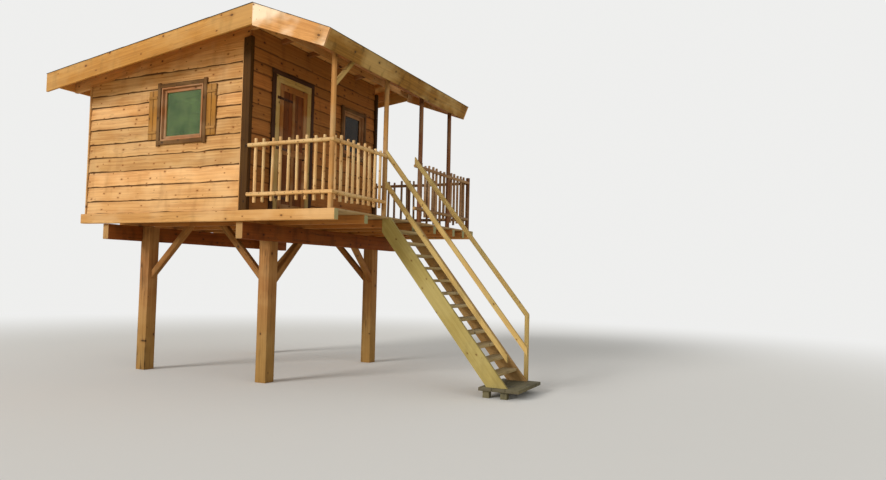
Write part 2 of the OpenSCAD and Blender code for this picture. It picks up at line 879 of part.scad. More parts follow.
module front_eave_board() {
  x0 = roof_x1 - fascia_t;
  color("peru") in_place() along_y(roof_y0 + fascia_t, roof_y1 - fascia_t) polygon([
    [x0, roof_under(x0, under_cover)],
    [x0, roof_under(roof_x1, under_cover) - eave_board_h],
    [roof_x1, roof_under(roof_x1, under_cover) - eave_board_h],
    [roof_x1, roof_under(roof_x1, under_cover)]
  ]);
}

module back_eave_board() {
  x1 = roof_x0 + fascia_t;
  color("peru") in_place() along_y(roof_y0 + fascia_t, roof_y1 - fascia_t) polygon([
    [roof_x0, roof_under(roof_x0, under_cover)],
    [roof_x0, roof_under(roof_x0, under_cover) - back_eave_h],
    [x1, roof_under(roof_x0, under_cover) - back_eave_h],
    [x1, roof_under(x1, under_cover)]
  ]);
}

module header_block() {
  block(
    [pole_x - header_w / 2, roof_y0 + fascia_t, header_z0],
    [pole_x + header_w / 2, roof_y1 - fascia_t, header_z1]
  );
}

module porch_header() {
  color("peru") in_place() header_block();
}

module porch_posts() {
  color("peru") in_place() {
    for (y = pole_along) {
      translate([pole_x, y, deck_height]) cylinder(h = header_up, d = pole_d);
    }
  }
}

// A light brace from the first porch post up to the header
module porch_brace() {
  half = pole_brace * sqrt(2) / 2;
  y0 = pole_along[0];
  low = header_z0 - pole_brace_reach;
  color("peru") in_place() difference() {
    along_x(pole_x - pole_brace / 2, pole_x + pole_brace / 2) polygon([
      [y0, low - half],
      [y0 + pole_brace_reach + half, header_z0],
      [y0 + pole_brace_reach - half, header_z0],
      [y0, low + half]
    ]);
    translate([pole_x, y0, deck_height]) cylinder(h = header_up, d = pole_d);
  }
}

// One railing panel along X from 0 to l: two pole rails with balusters let into their inner side
module railing_panel(l, first, count) {
  side = (rail_d + baluster_d) / 2 - let_in;
  foot = low_rail_up - baluster_past_foot;
  for (z = [low_rail_up, rail_up]) {
    translate([0, 0, z]) rotate([0, 90, 0]) cylinder(h = l, d = rail_d);
  }
  for (i = [0 : count - 1]) {
    translate([first + i * baluster_pitch, side, foot])
      cylinder(h = rail_up + baluster_past_top - foot, d = baluster_d);
  }
}

function fit_count(l) = floor((l - baluster_d) / baluster_pitch);
function fit_first(l) = (l - (fit_count(l) - 1) * baluster_pitch) / 2;

module near_railing() {
  x0 = front_x + corner_front_proud;
  l = pole_x - x0;
  clear_l = l - pole_d / 2;
  color("burlywood") in_place() difference() {
    translate([x0, pole_along[0], deck_height])
      railing_panel(l, fit_first(clear_l), fit_count(clear_l));
    translate([pole_x, pole_along[0], 0]) cylinder(h = header_z0, d = pole_d);
  }
}

module front_railing_by_corner() {
  start = rail_d / 2 + fit_gap;
  l = pole_along[1] - pole_along[0] - start;
  color("burlywood") in_place() difference() {
    translate([pole_x, pole_along[0] + start, deck_height]) rotate([0, 0, 90])
      railing_panel(l, fit_first(l), fit_count(l));
    for (y = [pole_along[0], pole_along[1]]) {
      translate([pole_x, y, 0]) cylinder(h = header_z0, d = pole_d);
    }
  }
}

module front_railing_by_stair() {
  y0 = far_rail_y1;
  l = walkway_y - rail_d / 2 - fit_gap - y0;
  first = pole_along[2] + baluster_pitch / 2 + pole_d / 4 - y0;
  color("burlywood") in_place() difference() {
    translate([pole_x, y0, deck_height]) rotate([0, 0, 90])
      railing_panel(l, first, floor((l - first - rail_d) / baluster_pitch) + 1);
    for (y = [pole_along[2], pole_along[3], walkway_y]) {
      translate([pole_x, y, 0]) cylinder(h = header_z0, d = pole_d);
    }
  }
}

module walkway_post(x, y) {
  translate([x, y, deck_height]) cylinder(h = rail_up + baluster_past_top, d = pole_d);
}

// The railing along the walkway beside the far wall, with its short posts
module walkway_railing() {
  l = pole_x - walkway_x0;
  color("burlywood") in_place() {
    translate([pole_x, walkway_y, deck_height]) rotate([0, 0, 180])
      railing_panel(l, fit_first(l), fit_count(l));
    walkway_post(pole_x, walkway_y);
    for (x = walkway_posts) {
      walkway_post(x, walkway_y);
    }
  }
}

// The railing across the walkway's back end, from the last short post to the cabin's corner
module walkway_end_railing() {
  start = rail_d / 2 + fit_gap;
  l = walkway_y - start - cabin_width - corner_proud;
  color("burlywood") in_place() difference() {
    translate([walkway_x0, walkway_y - start, deck_height]) rotate([0, 0, -90])
      railing_panel(l, fit_first(l), fit_count(l));
    translate([walkway_x0, walkway_y, 0]) cylinder(h = header_z0, d = pole_d);
  }
}

// A stringer plank: its upper edge starts at the deck's edge, and its foot is cut level on the foot board
module stringer(y) {
  head_x = deck_x1 - stringer_h / 2;
  color("khaki") in_place() along_y(y, y + stringer_t) polygon([
    [deck_x1, joist_top],
    [deck_x1, deck_height],
    [toe_x, foot_top],
    [toe_x - stringer_level, foot_top],
    [head_x, stair_edge(head_x) - stringer_level * stair_fall],
    [head_x, joist_top]
  ]);
}

module near_stringer() {
  stringer(stair_y0);
}

module far_stringer() {
  stringer(stair_y1 - stringer_t);
}

module treads() {
  color("rosybrown") in_place() {
    for (i = [1 : riser_count - 1]) {
      z = foot_top + i * riser;
      x = toe_x - i * riser / stair_fall;
      block([x - tread_d, stair_y0 + stringer_t, z - tread_t], [x, stair_y1 - stringer_t, z]);
    }
  }
}

// The foot board, on four short blocks that stand on the ground
module stair_foot() {
  x0 = toe_x - stringer_level - foot_back;
  y0 = stair_y0 - foot_margin;
  y1 = stair_y1 + foot_margin;
  under = foot_top - foot_t;
  color("dimgray") in_place() {
    block([x0, y0, under], [x0 + foot_d, y1, foot_top]);
    for (x = [x0 + foot_margin, toe_x - foot_block]) {
      for (y = [y0 + foot_margin, y1 - foot_margin - foot_block]) {
        block([x, y, 0], [x + foot_block, y + foot_block, under]);
      }
    }
  }
}

// A stair rail drawn from the side: parallel to the stair at a height up over the stringer's edge
module stair_rail(y, up, x0, x1) {
  half = stair_rail_h / cos(stair_pitch) / 2;
  along_y(y, y + stair_rail_t) polygon([
    [x0, stair_edge(x0) + up - half],
    [x1, stair_edge(x1) + up - half],
    [x1, stair_edge(x1) + up + half],
    [x0, stair_edge(x0) + up + half]
  ]);
}

module near_stair_rails() {
  color("khaki") in_place() difference() {
    union() {
      stair_rail(near_rail_y0, near_rail_up, pole_x, toe_x + near_rail_past);
      stair_rail(near_rail_y0, near_low_rail_up, pole_x, toe_x);
    }
    translate([pole_x, pole_along[1], deck_height]) cylinder(h = header_up, d = pole_d);
  }
}

// The far rail, with the newel that stands under its lower end on the foot board
module far_stair_rail() {
  color("khaki") in_place() {
    stair_rail(far_rail_y0, far_rail_up, pole_x + pole_d / 2, toe_x);
    along_y(far_rail_y0, far_rail_y1) polygon([
      [newel_x, foot_top],
      [toe_x, foot_top],
      [toe_x, stair_edge(toe_x) + far_rail_up],
      [newel_x, stair_edge(newel_x) + far_rail_up]
    ]);
  }
}

posts();
beams();
knee_braces();
joists();
deck_boards();
near_wall();
far_wall();
back_wall();
front_wall_by_corner();
front_wall_over_door();
front_wall_by_window();
corner_posts();
side_window_frame();
side_window_pane();
side_window_shutters();
porch_window_frame();
porch_window_pane();
door_trim();
door_frame();
hinge_plates();
door_leaf();
door_hardware();
cabin_rafters();
porch_rafters();
ridge_board();
roof_boards();
roofing();
near_rake_boards();
far_rake_boards();
front_eave_board();
back_eave_board();
porch_header();
porch_posts();
porch_brace();
near_railing();
front_railing_by_corner();
front_railing_by_stair();
walkway_railing();
walkway_end_railing();
near_stringer();
far_stringer();
treads();
stair_foot();
near_stair_rails();
far_stair_rail();
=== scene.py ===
"""Looks of the timber tree house: every board, pole and strip of felt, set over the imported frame.

All lengths are in metres. Places are given in the house's own lines, with X towards the porch, Y from the
near wall to the far one and Z up, and a finished piece is moved over the origin with the whole house.
"""

import logging
import math
import random
from dataclasses import dataclass, replace
from enum import Enum
from typing import Iterable, Optional, Sequence

import bmesh
import bpy
from mathutils import Matrix, Vector, noise


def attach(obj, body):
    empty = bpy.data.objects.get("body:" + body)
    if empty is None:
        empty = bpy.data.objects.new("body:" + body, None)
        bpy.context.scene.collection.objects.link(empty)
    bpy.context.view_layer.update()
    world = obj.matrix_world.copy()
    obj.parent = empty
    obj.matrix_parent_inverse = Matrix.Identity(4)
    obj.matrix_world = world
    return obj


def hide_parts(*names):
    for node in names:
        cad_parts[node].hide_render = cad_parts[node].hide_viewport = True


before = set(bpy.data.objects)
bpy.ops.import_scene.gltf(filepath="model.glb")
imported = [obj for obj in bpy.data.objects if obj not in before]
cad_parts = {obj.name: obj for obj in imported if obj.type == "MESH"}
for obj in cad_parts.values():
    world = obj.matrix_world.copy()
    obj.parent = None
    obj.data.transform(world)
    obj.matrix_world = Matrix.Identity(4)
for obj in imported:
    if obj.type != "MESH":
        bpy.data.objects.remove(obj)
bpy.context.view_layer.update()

LOG = logging.getLogger("tree_house")

# Places that several pieces share, in the house's own lines
HOUSE_SHIFT = Vector((-0.059, -2.089, 0.0))
FRONT_X = 0.075
BACK_X = -3.25
DECK_TOP = 2.55
JOIST_TOP = 2.522
JOIST_FOOT = 2.397
BEAM_FOOT = 2.152
DECK_X = (-3.34, 1.63)
DECK_Y = (-0.027, 4.643)
CABIN_Y = (0.0, 3.5)
WALL_T = 0.095
POLE_X = 1.53
POLE_Y = (0.022, 1.419, 2.567, 3.673)
RAIL_Z = 3.477
LOW_RAIL_Z = 2.775
WALKWAY_Y = 4.573

# Attributes that the timbers carry for their finishes
GRAIN = "grain"
PLACE = "place"
END = "cut_end"

Plane = tuple[Vector, Vector]
Socket = bpy.types.NodeSocket
Outputs = bpy.types.bpy_prop_collection


class Way(Enum):
    """A direction in the house."""

    FRONT = (1.0, 0.0, 0.0)
    BACK = (-1.0, 0.0, 0.0)
    FAR = (0.0, 1.0, 0.0)
    NEAR = (0.0, -1.0, 0.0)
    UP = (0.0, 0.0, 1.0)
    DOWN = (0.0, 0.0, -1.0)

    @property
    def vector(self) -> Vector:
        """Returns the direction as a unit vector."""
        return Vector(self.value)


class Slot(Enum):
    """Those material slots of the part's record that the pieces take."""

    OLD_PINE = "old_pine"
    DARK_TIMBER = "dark_timber"
    NEW_PINE = "new_pine"
    SHADED_TIMBER = "shaded_timber"
    POLE_WOOD = "pole_wood"
    FELT = "felt"


# Node trees


def tone(code: str) -> tuple[float, float, float, float]:
    """Turns a colour code into the linear colour that a shader takes.

    Args:
        code: Six hexadecimal digits, as in "C49A6C".

    Returns:
        Red, green, blue and an alpha of one.
    """
    channels = [int(code[i : i + 2], 16) / 255.0 for i in (0, 2, 4)]
    linear = [c / 12.92 if c <= 0.04045 else ((c + 0.055) / 1.055) ** 2.4 for c in channels]
    return (linear[0], linear[1], linear[2], 1.0)


class Sheet:
    """Lays out the nodes of one node tree."""

    def __init__(self, tree: bpy.types.NodeTree) -> None:
        """Starts on an emptied tree.

        Args:
            tree: The tree of a material, a world or a group.
        """
        self.tree = tree
        tree.nodes.clear()

    def feed(self, value: object, socket: Socket) -> None:
        """Links a socket to another one, or sets its value.

        Args:
            value: An output socket, a number or a colour.
            socket: The input socket that takes it.
        """
        if isinstance(value, Socket):
            self.tree.links.new(value, socket)
        else:
            socket.default_value = value

    def put(self, kind: str, ins: Optional[dict] = None, **settings: object) -> bpy.types.Node:
        """Adds one node.

        Args:
            kind: The node's type, without the word ShaderNode in front.
            ins: What each input takes, by name or number.
            **settings: The node's own properties.

        Returns:
            The new node.
        """
        node = self.tree.nodes.new("ShaderNode" + kind)
        for key, value in settings.items():
            setattr(node, key, value)
        for key, value in (ins or {}).items():
            self.feed(value, node.inputs[key])
        return node

    def math(self, operation: str, first: object, second: object = 0.0) -> Socket:
        """Adds a Math node and returns its result."""
        return self.put("Math", {0: first, 1: second}, operation=operation).outputs[0]

    def vector(self, operation: str, first: object, second: object = (0.0, 0.0, 0.0)) -> Socket:
        """Adds a Vector Math node and returns its vector, or its value for a length."""
        node = self.put("VectorMath", {0: first, 1: second}, operation=operation)
        return node.outputs["Value"] if operation in ("LENGTH", "DISTANCE") else node.outputs["Vector"]

    def ease(self, value: object, low: object, high: object) -> Socket:
        """Adds a smooth step and returns it.

        Args:
            value: What is stepped.
            low: The value at which the result is 0.
            high: The value at which the result is 1.

        Returns:
            The socket that runs from 0 to 1.
        """
        ins = {"Value": value, "From Min": low, "From Max": high}
        return self.put("MapRange", ins, interpolation_type="SMOOTHSTEP").outputs["Result"]

    def fade(self, value: object, low: object, high: object) -> Socket:
        """Adds a smooth step that runs down from 1 to 0 and returns it."""
        return self.math("SUBTRACT", 1.0, self.ease(value, low, high))

    def mix(self, share: object, first: object, second: object, how: str = "MIX") -> Socket:
        """Adds a colour mix.

        Args:
            share: How much of the second colour is taken.
            first: The first colour.
            second: The second colour.
            how: The blend type.

        Returns:
            The mixed colour.
        """
        node = self.put("Mix", None, data_type="RGBA", blend_type=how, clamp_factor=True)
        self.feed(share, node.inputs[0])
        self.feed(first, node.inputs[6])
        self.feed(second, node.inputs[7])
        return node.outputs[2]

    def lay(self, under: object, over: object, mask: object, share: float) -> Socket:
        """Lays one colour over another, as far as a share of the mask lets it."""
        return self.mix(self.math("MULTIPLY", mask, share), under, over)

    def surface(self, ins: dict[str, object]) -> None:
        """Adds a surface with its inputs, and the output of the material."""
        self.put("OutputMaterial", {0: self.put("BsdfPrincipled", ins).outputs[0]})

    def noise(self, where: object, stretch: tuple[float, float, float], detail: float = 2.0) -> Socket:
        """Adds a noise that is stretched by its own numbers per metre, and returns its value."""
        scaled = self.vector("MULTIPLY", where, stretch)
        return self.put("TexNoise", {"Vector": scaled, "Scale": 1.0, "Detail": detail}).outputs[0]

    def attribute(self, name: str, output: str) -> Socket:
        """Reads one of the mesh's own attributes."""
        return self.put("Attribute", None, attribute_type="GEOMETRY", attribute_name=name).outputs[output]


def new_material(name: str) -> tuple[bpy.types.Material, Sheet]:
    """Adds a material.

    Args:
        name: Its name.

    Returns:
        The material and the sheet of its nodes.
    """
    material = bpy.data.materials.new(name)
    material.use_nodes = True
    return material, Sheet(material.node_tree)


class Group:
    """A shader node group that several finishes share."""

    made: dict[str, bpy.types.NodeTree] = {}

    def __init__(self, name: str, ins: dict[str, object], outs: Sequence[str]) -> None:
        """Starts the group with its sockets.

        Args:
            name: The group's name.
            ins: Each input with its default, a vector or a number.
            outs: The names of the outputs, all numbers.
        """
        self.tree = bpy.data.node_groups.new(name, "ShaderNodeTree")
        Group.made[name] = self.tree
        for key, value in ins.items():
            kind = "NodeSocketFloat" if isinstance(value, float) else "NodeSocketVector"
            socket = self.tree.interface.new_socket(name=key, in_out="INPUT", socket_type=kind)
            if kind == "NodeSocketFloat":
                socket.default_value = value
        for key in outs:
            self.tree.interface.new_socket(name=key, in_out="OUTPUT", socket_type="NodeSocketFloat")
        self.sheet = Sheet(self.tree)
        self.ins = self.tree.nodes.new("NodeGroupInput").outputs
        self.outs = self.tree.nodes.new("NodeGroupOutput").inputs

    def give(self, name: str, value: object) -> None:
        """Feeds one of the group's outputs."""
        self.sheet.feed(value, self.outs[name])

    @staticmethod
    def use(sheet: Sheet, name: str, ins: dict[str, object]) -> Outputs:
        """Places the group in a material.

        Args:
            sheet: The material's sheet.
            name: The group's name.
            ins: What its inputs take.

        Returns:
            The outputs of the group's node.
        """
        node = sheet.put("Group", None, node_tree=Group.made[name])
        for key, value in ins.items():
            sheet.feed(value, node.inputs[key])
        return node.outputs


class WoodGroups:
    """Builds the effects that all timber finishes share."""

    GROWTH = "growth_figure"
    KNOTS = "knots"
    CHECKS = "drying_checks"
    WEATHER = "weathering"

    def build(self) -> None:
        """Builds every group once."""
        self.growth()
        self.knots()
        self.checks()
        self.weather()

    def growth(self) -> None:
        """Rings round a pith that wanders, with streaks and fibres along the grain."""
        ins = {"Grain": (0, 0, 0), "Spacing": 0.006, "Wander": 0.02, "Swell": 0.0}
        group = Group(self.GROWTH, ins, ("Ring", "Streak", "Fibre"))
        s, given = group.sheet, group.ins
        drift = s.math("SUBTRACT", s.noise(given["Grain"], (0.9, 6.0, 6.0), 2.5), 0.5)
        drift = s.math("MULTIPLY", drift, given["Wander"])
        radius = s.vector("LENGTH", s.vector("MULTIPLY", given["Grain"], (0.0, 1.0, 1.0)))
        radius = s.math("ADD", s.math("ADD", radius, drift), given["Swell"])
        turn = s.math("FRACT", s.math("DIVIDE", radius, given["Spacing"]))
        group.give("Ring", s.math("POWER", turn, 2.2))
        group.give("Streak", s.ease(s.noise(given["Grain"], (0.7, 34.0, 34.0), 3.0), 0.36, 0.66))
        group.give("Fibre", s.noise(given["Grain"], (5.0, 380.0, 380.0), 2.0))

    def knots(self) -> None:
        """Knots of different sizes, each with a ring of turned grain round it."""
        ins = {"Grain": (0, 0, 0), "Along": 0.4, "Across": 0.12, "Size": 0.012, "Share": 0.6}
        group = Group(self.KNOTS, ins, ("Knot", "Halo"))
        s, given = group.sheet, group.ins
        gap = s.put("CombineXYZ", {0: given["Along"], 1: given["Across"], 2: 1.0}).outputs[0]
        parts = s.put("SeparateXYZ", {0: given["Grain"]}).outputs
        radius = s.vector("LENGTH", s.vector("MULTIPLY", given["Grain"], (0.0, 1.0, 1.0)))
        arc = s.math("MULTIPLY", s.math("ARCTAN2", parts["Y"], parts["Z"]), radius)
        cells = s.vector("DIVIDE", s.put("CombineXYZ", {0: parts["X"], 1: arc}).outputs[0], gap)
        spots = s.put("TexVoronoi", {"Vector": cells, "Scale": 1.0}, voronoi_dimensions="2D")
        away = s.vector("MULTIPLY", s.vector("SUBTRACT", cells, spots.outputs["Position"]), gap)
        away = s.vector("MULTIPLY", away, (0.75, 1.0, 0.0))
        ragged = s.math("MULTIPLY", s.noise(given["Grain"], (60.0, 90.0, 90.0), 1.0), 0.008)
        reach = s.math("ADD", s.vector("LENGTH", away), s.math("SUBTRACT", ragged, 0.004))
        draw = s.put("SeparateColor", {0: spots.outputs["Color"]}).outputs
        size = s.math("MULTIPLY", given["Size"], s.math("ADD", draw[0], 0.3))
        here = s.math("LESS_THAN", draw[1], given["Share"])
        core = s.fade(reach, s.math("MULTIPLY", size, 0.7), s.math("MULTIPLY", size, 1.1))
        halo = s.fade(reach, size, s.math("MULTIPLY", size, 2.8))
        group.give("Knot", s.math("MULTIPLY", core, here))
        group.give("Halo", s.math("MULTIPLY", halo, here))

    def checks(self) -> None:
        """Drying cracks: thin lines along the grain that come and go."""
        group = Group(self.CHECKS, {"Grain": (0, 0, 0), "Amount": 0.5}, ("Check",))
        s, given = group.sheet, group.ins
        field = s.noise(given["Grain"], (0.5, 15.0, 15.0), 3.5)
        line = s.fade(s.math("ABSOLUTE", s.math("SUBTRACT", field, 0.5)), 0.0, 0.012)
        where = s.ease(s.noise(given["Grain"], (0.8, 4.0, 4.0), 1.0), 0.46, 0.58)
        group.give("Check", s.math("MULTIPLY", s.math("MULTIPLY", line, where), given["Amount"]))

    def weather(self) -> None:
        """Patches that the sun bleached, dirt that the rain left, and a share that fades out with height."""
        ins = {"Where": (0, 0, 0), "Foot": 0.0, "Head": 1.0}
        group = Group(self.WEATHER, ins, ("Bleach", "Dirt", "Low"))
        s, given = group.sheet, group.ins
        group.give("Bleach", s.ease(s.noise(given["Where"], (1.5, 1.5, 2.6), 3.0), 0.4, 0.66))
        group.give("Dirt", s.ease(s.noise(given["Where"], (5.0, 5.0, 1.6), 4.0), 0.5, 0.74))
        height = s.put("SeparateXYZ", {0: given["Where"]}).outputs["Z"]
        group.give("Low", s.fade(height, given["Foot"], given["Head"]))


# Finishes


@dataclass(frozen=True)
class Effects:
    """What shows on a timber, as the outputs of its groups.

    Attributes:
        place: Distances from the lower and the upper edge, and the board's own draw.
        cut_end: One on the cut ends.
    """

    growth: Outputs
    knots: Outputs
    checks: Outputs
    weather: Outputs
    place: Outputs
    cut_end: Socket


@dataclass(frozen=True)
class TimberFinish:
    """How one kind of timber on the house looks. Colours are codes, shares run from 0 to 1.

    The low part of a house timber may take another colour: that colour, its share, the height under which
    it is full and the height over which it is gone. It is weathering, and on the siding partly painted shade
    as
    well: the top of the wall, under the eave, is left darker.
    """

    name: str
    light: str
    deep: str
    knot: str = "5A3A1E"
    end: str = "B98F5C"
    # Colour of the board edges, also laid as the painted shadow under a lap
    edge: str = "7A5230"
    pale: str = "D8C2A0"
    dirt: str = "5E4A34"
    crack: str = "2A1A0E"
    ring_gap: float = 0.007
    ring: float = 0.45
    wander: float = 0.05
    streak: float = 0.4
    knot_size: float = 0.013
    knot_along: float = 0.34
    knot_across: float = 0.12
    knots: float = 0.6
    checks: float = 0.3
    bleach: float = 0.25
    low: Optional[tuple[str, float, float, float]] = None
    dirty: float = 0.25
    tint: float = 0.3
    edge_share: float = 0.0
    # Share of the painted shadow, in the edge colour, just under the lap of the board above
    lap_shadow_share: float = 0.0
    rough: float = 0.72
    sheen: float = 0.15
    bump: float = 0.0016

    def material(self) -> bpy.types.Material:
        """Builds the finish as a material, or finds it where it was built before.

        Returns:
            The material.
        """
        found = bpy.data.materials.get(self.name)
        if found:
            return found
        material, s = new_material(self.name)
        grain = s.attribute(GRAIN, "Vector")
        place = s.put("SeparateXYZ", {0: s.attribute(PLACE, "Vector")}).outputs
        cut_end = s.attribute(END, "Fac")
        where = s.put("TexCoord").outputs["Object"]
        size = {"Along": self.knot_along, "Across": self.knot_across, "Size": self.knot_size}
        knots = Group.use(s, WoodGroups.KNOTS, {"Grain": grain, **size, "Share": self.knots})
        swell = s.math("MULTIPLY", knots["Halo"], 0.02)
        rings = {"Grain": grain, "Spacing": self.ring_gap, "Wander": self.wander, "Swell": swell}
        growth = Group.use(s, WoodGroups.GROWTH, rings)
        checks = Group.use(s, WoodGroups.CHECKS, {"Grain": grain, "Amount": self.checks})
        heights = {"Foot": self.low[2], "Head": self.low[3]} if self.low else {}
        weather = Group.use(s, WoodGroups.WEATHER, {"Where": where, **heights})
        colour = self._colour(s, Effects(growth, knots, checks, weather, place, cut_end))
        relief = s.math("MULTIPLY", growth["Ring"], -0.35)
        for mark, height in ((growth["Fibre"], 0.3), (growth["Streak"], -0.25), (knots["Knot"], 0.35)):
            relief = s.math("ADD", relief, s.math("MULTIPLY", mark, height))
        relief = s.math("SUBTRACT", relief, s.math("MULTIPLY", checks["Check"], 1.6))
        bump = s.put("Bump", {"Height": relief, "Distance": self.bump, "Strength": 0.8})
        rough = s.math("SUBTRACT", self.rough + 0.06, s.math("MULTIPLY", growth["Ring"], 0.12))
        rough = s.math("SUBTRACT", rough, s.math("MULTIPLY", knots["Knot"], 0.14))
        ins = {"Base Color": colour, "Roughness": rough, "Normal": bump.outputs[0]}
        s.surface({**ins, "Specular IOR Level": self.sheen})
        return material

    def _colour(self, s: Sheet, seen: Effects) -> Socket:
        """Lays the effects over each other as colours.

        Args:
            s: The material's sheet.
            seen: What shows on the timber.

        Returns:
            The finish's colour.
        """
        growth, knots, weather, place = seen.growth, seen.knots, seen.weather, seen.place
        light, deep = tone(self.light), tone(self.deep)
        colour = s.lay(light, deep, growth["Ring"], self.ring)
        colour = s.lay(colour, deep, growth["Streak"], self.streak)
        colour = s.lay(colour, tone(self.pale), weather["Bleach"], self.bleach)
        # The low colour: weathering, and on the siding partly painted shade that leaves the top of the wall
        # under the eave darker
        if self.low:
            colour = s.lay(colour, tone(self.low[0]), weather["Low"], self.low[1])
        value = s.math("ADD", s.math("MULTIPLY", place["Z"], self.tint), 1.0 - self.tint / 2)
        hue = s.math("ADD", s.math("MULTIPLY", place["Z"], -0.005), 0.5025)
        colour = s.put("HueSaturation", {"Hue": hue, "Value": value, "Color": colour}).outputs[0]
        colour = s.lay(colour, deep, knots["Halo"], 0.35)
        colour = s.lay(colour, tone(self.knot), knots["Knot"], 0.9)
        colour = s.lay(colour, tone(self.dirt), weather["Dirt"], self.dirty)
        # Painted shadow: the edge colour in a band 30 to 44 mm under the upper edge of a board, just below
        # the lap over it
        if self.lap_shadow_share:
            joint = s.fade(place["Y"], 0.03, 0.044)
            colour = s.lay(colour, tone(self.edge), joint, self.lap_shadow_share)
        if self.edge_share:
            edge = s.fade(s.math("MINIMUM", place["X"], place["Y"]), 0.001, 0.008)
            colour = s.lay(colour, tone(self.edge), edge, self.edge_share)
        rings = s.lay(tone(self.end), deep, growth["Ring"], 0.6)
        colour = s.lay(colour, rings, seen.cut_end, 0.85)
        return s.lay(colour, tone(self.crack), seen.checks["Check"], 0.85)


@dataclass(frozen=True)
class FeltFinish:
    """Bituminous roofing felt with mineral grains and a little moss."""

    name: str = "roofing_felt"
    light: str = "5B5650"
    dark: str = "2C2825"
    moss: str = "5F6238"

    def material(self) -> bpy.types.Material:
        """Builds the felt as a material."""
        material, s = new_material(self.name)
        where = s.put("TexCoord").outputs["Object"]
        grains = s.noise(where, (420.0, 420.0, 420.0), 1.0)
        patches = s.noise(where, (1.6, 1.6, 1.6), 4.0)
        moss = s.ease(s.noise(where, (7.0, 7.0, 7.0), 5.0), 0.58, 0.7)
        colour = s.mix(s.ease(grains, 0.35, 0.65), tone(self.dark), tone(self.light))
        colour = s.lay(colour, tone(self.dark), s.ease(patches, 0.4, 0.65), 0.5)
        colour = s.lay(colour, tone(self.moss), moss, 0.55)
        bump = s.put("Bump", {"Height": grains, "Distance": 0.002, "Strength": 0.7})
        rough = s.math("ADD", s.math("MULTIPLY", grains, 0.15), 0.78)
        s.surface({"Base Color": colour, "Roughness": rough, "Normal": bump.outputs[0]})
        return material


@dataclass(frozen=True)
class IronFinish:
    """Brown forged iron with worn spots and some rust."""

    name: str = "door_iron"
    black: str = "4A3020"
    rust: str = "7A4A28"

    def material(self) -> bpy.types.Material:
        """Builds the iron as a material, or finds it where it was built before."""
        found = bpy.data.materials.get(self.name)
        if found:
            return found
        material, s = new_material(self.name)
        where = s.put("TexCoord").outputs["Object"]
        worn = s.ease(s.noise(where, (60.0, 60.0, 60.0), 4.0), 0.52, 0.72)
        hammer = s.noise(where, (170.0, 170.0, 170.0), 2.0)
        colour = s.lay(tone(self.black), tone(self.rust), worn, 0.7)
        bump = s.put("Bump", {"Height": hammer, "Distance": 0.0006, "Strength": 0.6})
        rough = s.math("ADD", s.math("MULTIPLY", worn, 0.3), 0.42)
        metal = s.math("SUBTRACT", 0.85, s.math("MULTIPLY", worn, 0.6))
        s.surface({"Base Color": colour, "Roughness": rough, "Metallic": metal, "Normal": bump.outputs[0]})
        return material


SCREW = IronFinish("screw_heads", "33261A", "4E3018")


@dataclass(frozen=True)
class GlassFinish:
    """Window glass whose colour is a painted reflection, a little uneven and dusty."""

    name: str = "window_glass"
    # The tone of the painted reflection where the glass is clean
    clear: str = "A4C878"
    # A darker painted reflection tone, laid where the glass is dusty
    dust_and_reflection: str = "6E9A4A"
    bend: float = 1.45
    through: float = 0.85

    def material(self) -> bpy.types.Material:
        """Builds the glass as a material."""
        material, s = new_material(self.name)
        where = s.put("TexCoord").outputs["Object"]
        waves = s.noise(where, (3.0, 3.0, 3.0), 1.0)
        dust_and_reflection = s.ease(s.noise(where, (5.0, 5.0, 4.0), 4.0), 0.35, 0.8)
        # Painted reflection: the tone darkens in the dusty patches, which also roughen the glass
        colour = s.mix(dust_and_reflection, tone(self.clear), tone(self.dust_and_reflection))
        rough = s.math("ADD", s.math("MULTIPLY", dust_and_reflection, 0.12), 0.03)
        bump = s.put("Bump", {"Height": waves, "Distance": 0.004, "Strength": 0.25})
        ins = {"Base Color": colour, "Roughness": rough, "IOR": self.bend, "Normal": bump.outputs[0]}
        s.surface({**ins, "Transmission Weight": self.through})
        return material


SIDING = TimberFinish(
    "sunlit_siding", "DCA86A", "9E602A", edge="4A2E16", end="BE8E58", pale="EAC492", knot="74451F",
    # Pale low part: partly weathering, partly painted shade that leaves the top of the wall under the eave
    # darker
    knots=0.62, knot_size=0.012, knot_along=0.33, knot_across=0.13, low=("E8C08A", 0.2, 2.9, 4.7),
    # The edge colour is also the painted shadow under each lap
    edge_share=0.9, lap_shadow_share=0.85, dirty=0.3, tint=0.32, dirt="8A5C30", bleach=0.4, checks=0.4,
    ring=0.6, streak=0.55,
)
SHADED_SIDING = TimberFinish(
    "shaded_siding", "B67A3E", "824A1E", edge="2A180C", knot="3A2011", end="8E6038", pale="AE7C4C",
    # The edge colour is also the painted shadow under each lap
    dirt="402A1A", edge_share=0.5, lap_shadow_share=0.5, knot_size=0.015, tint=0.34, bleach=0.2,
)
LINING = TimberFinish("cabin_lining", "C89C68", "9C6C3E", tint=0.25, dirty=0.1, checks=0.1, bleach=0.1)
CORNER_DARK = TimberFinish(
    "dark_corner_board", "4C300C", "281604", knot="1A0E04", end="6A4A2C", pale="5A3E16", dirt="1E1206",
    bleach=0.3, ring=0.5, tint=0.15, checks=0.6,
)
CORNER_LIGHT = TimberFinish("light_corner_board", "D0A066", "A66E38", tint=0.1, knots=0.3, end="B98850")
FASCIA = TimberFinish(
    "fascia_board", "CE944C", "98602A", pale="D6B078", dirt="7C6034", end="B08452", knot="5C3A1A",
    knot_size=0.017, knot_along=0.5, knot_across=0.2, knots=0.55, wander=0.12, bleach=0.35, dirty=0.35,
    tint=0.2, ring=0.5,
)
PALE_FASCIA = replace(
    FASCIA, name="pale_fascia_board", light="D09A5C", deep="9E6A38", bleach=0.9, pale="F0DABC",
)
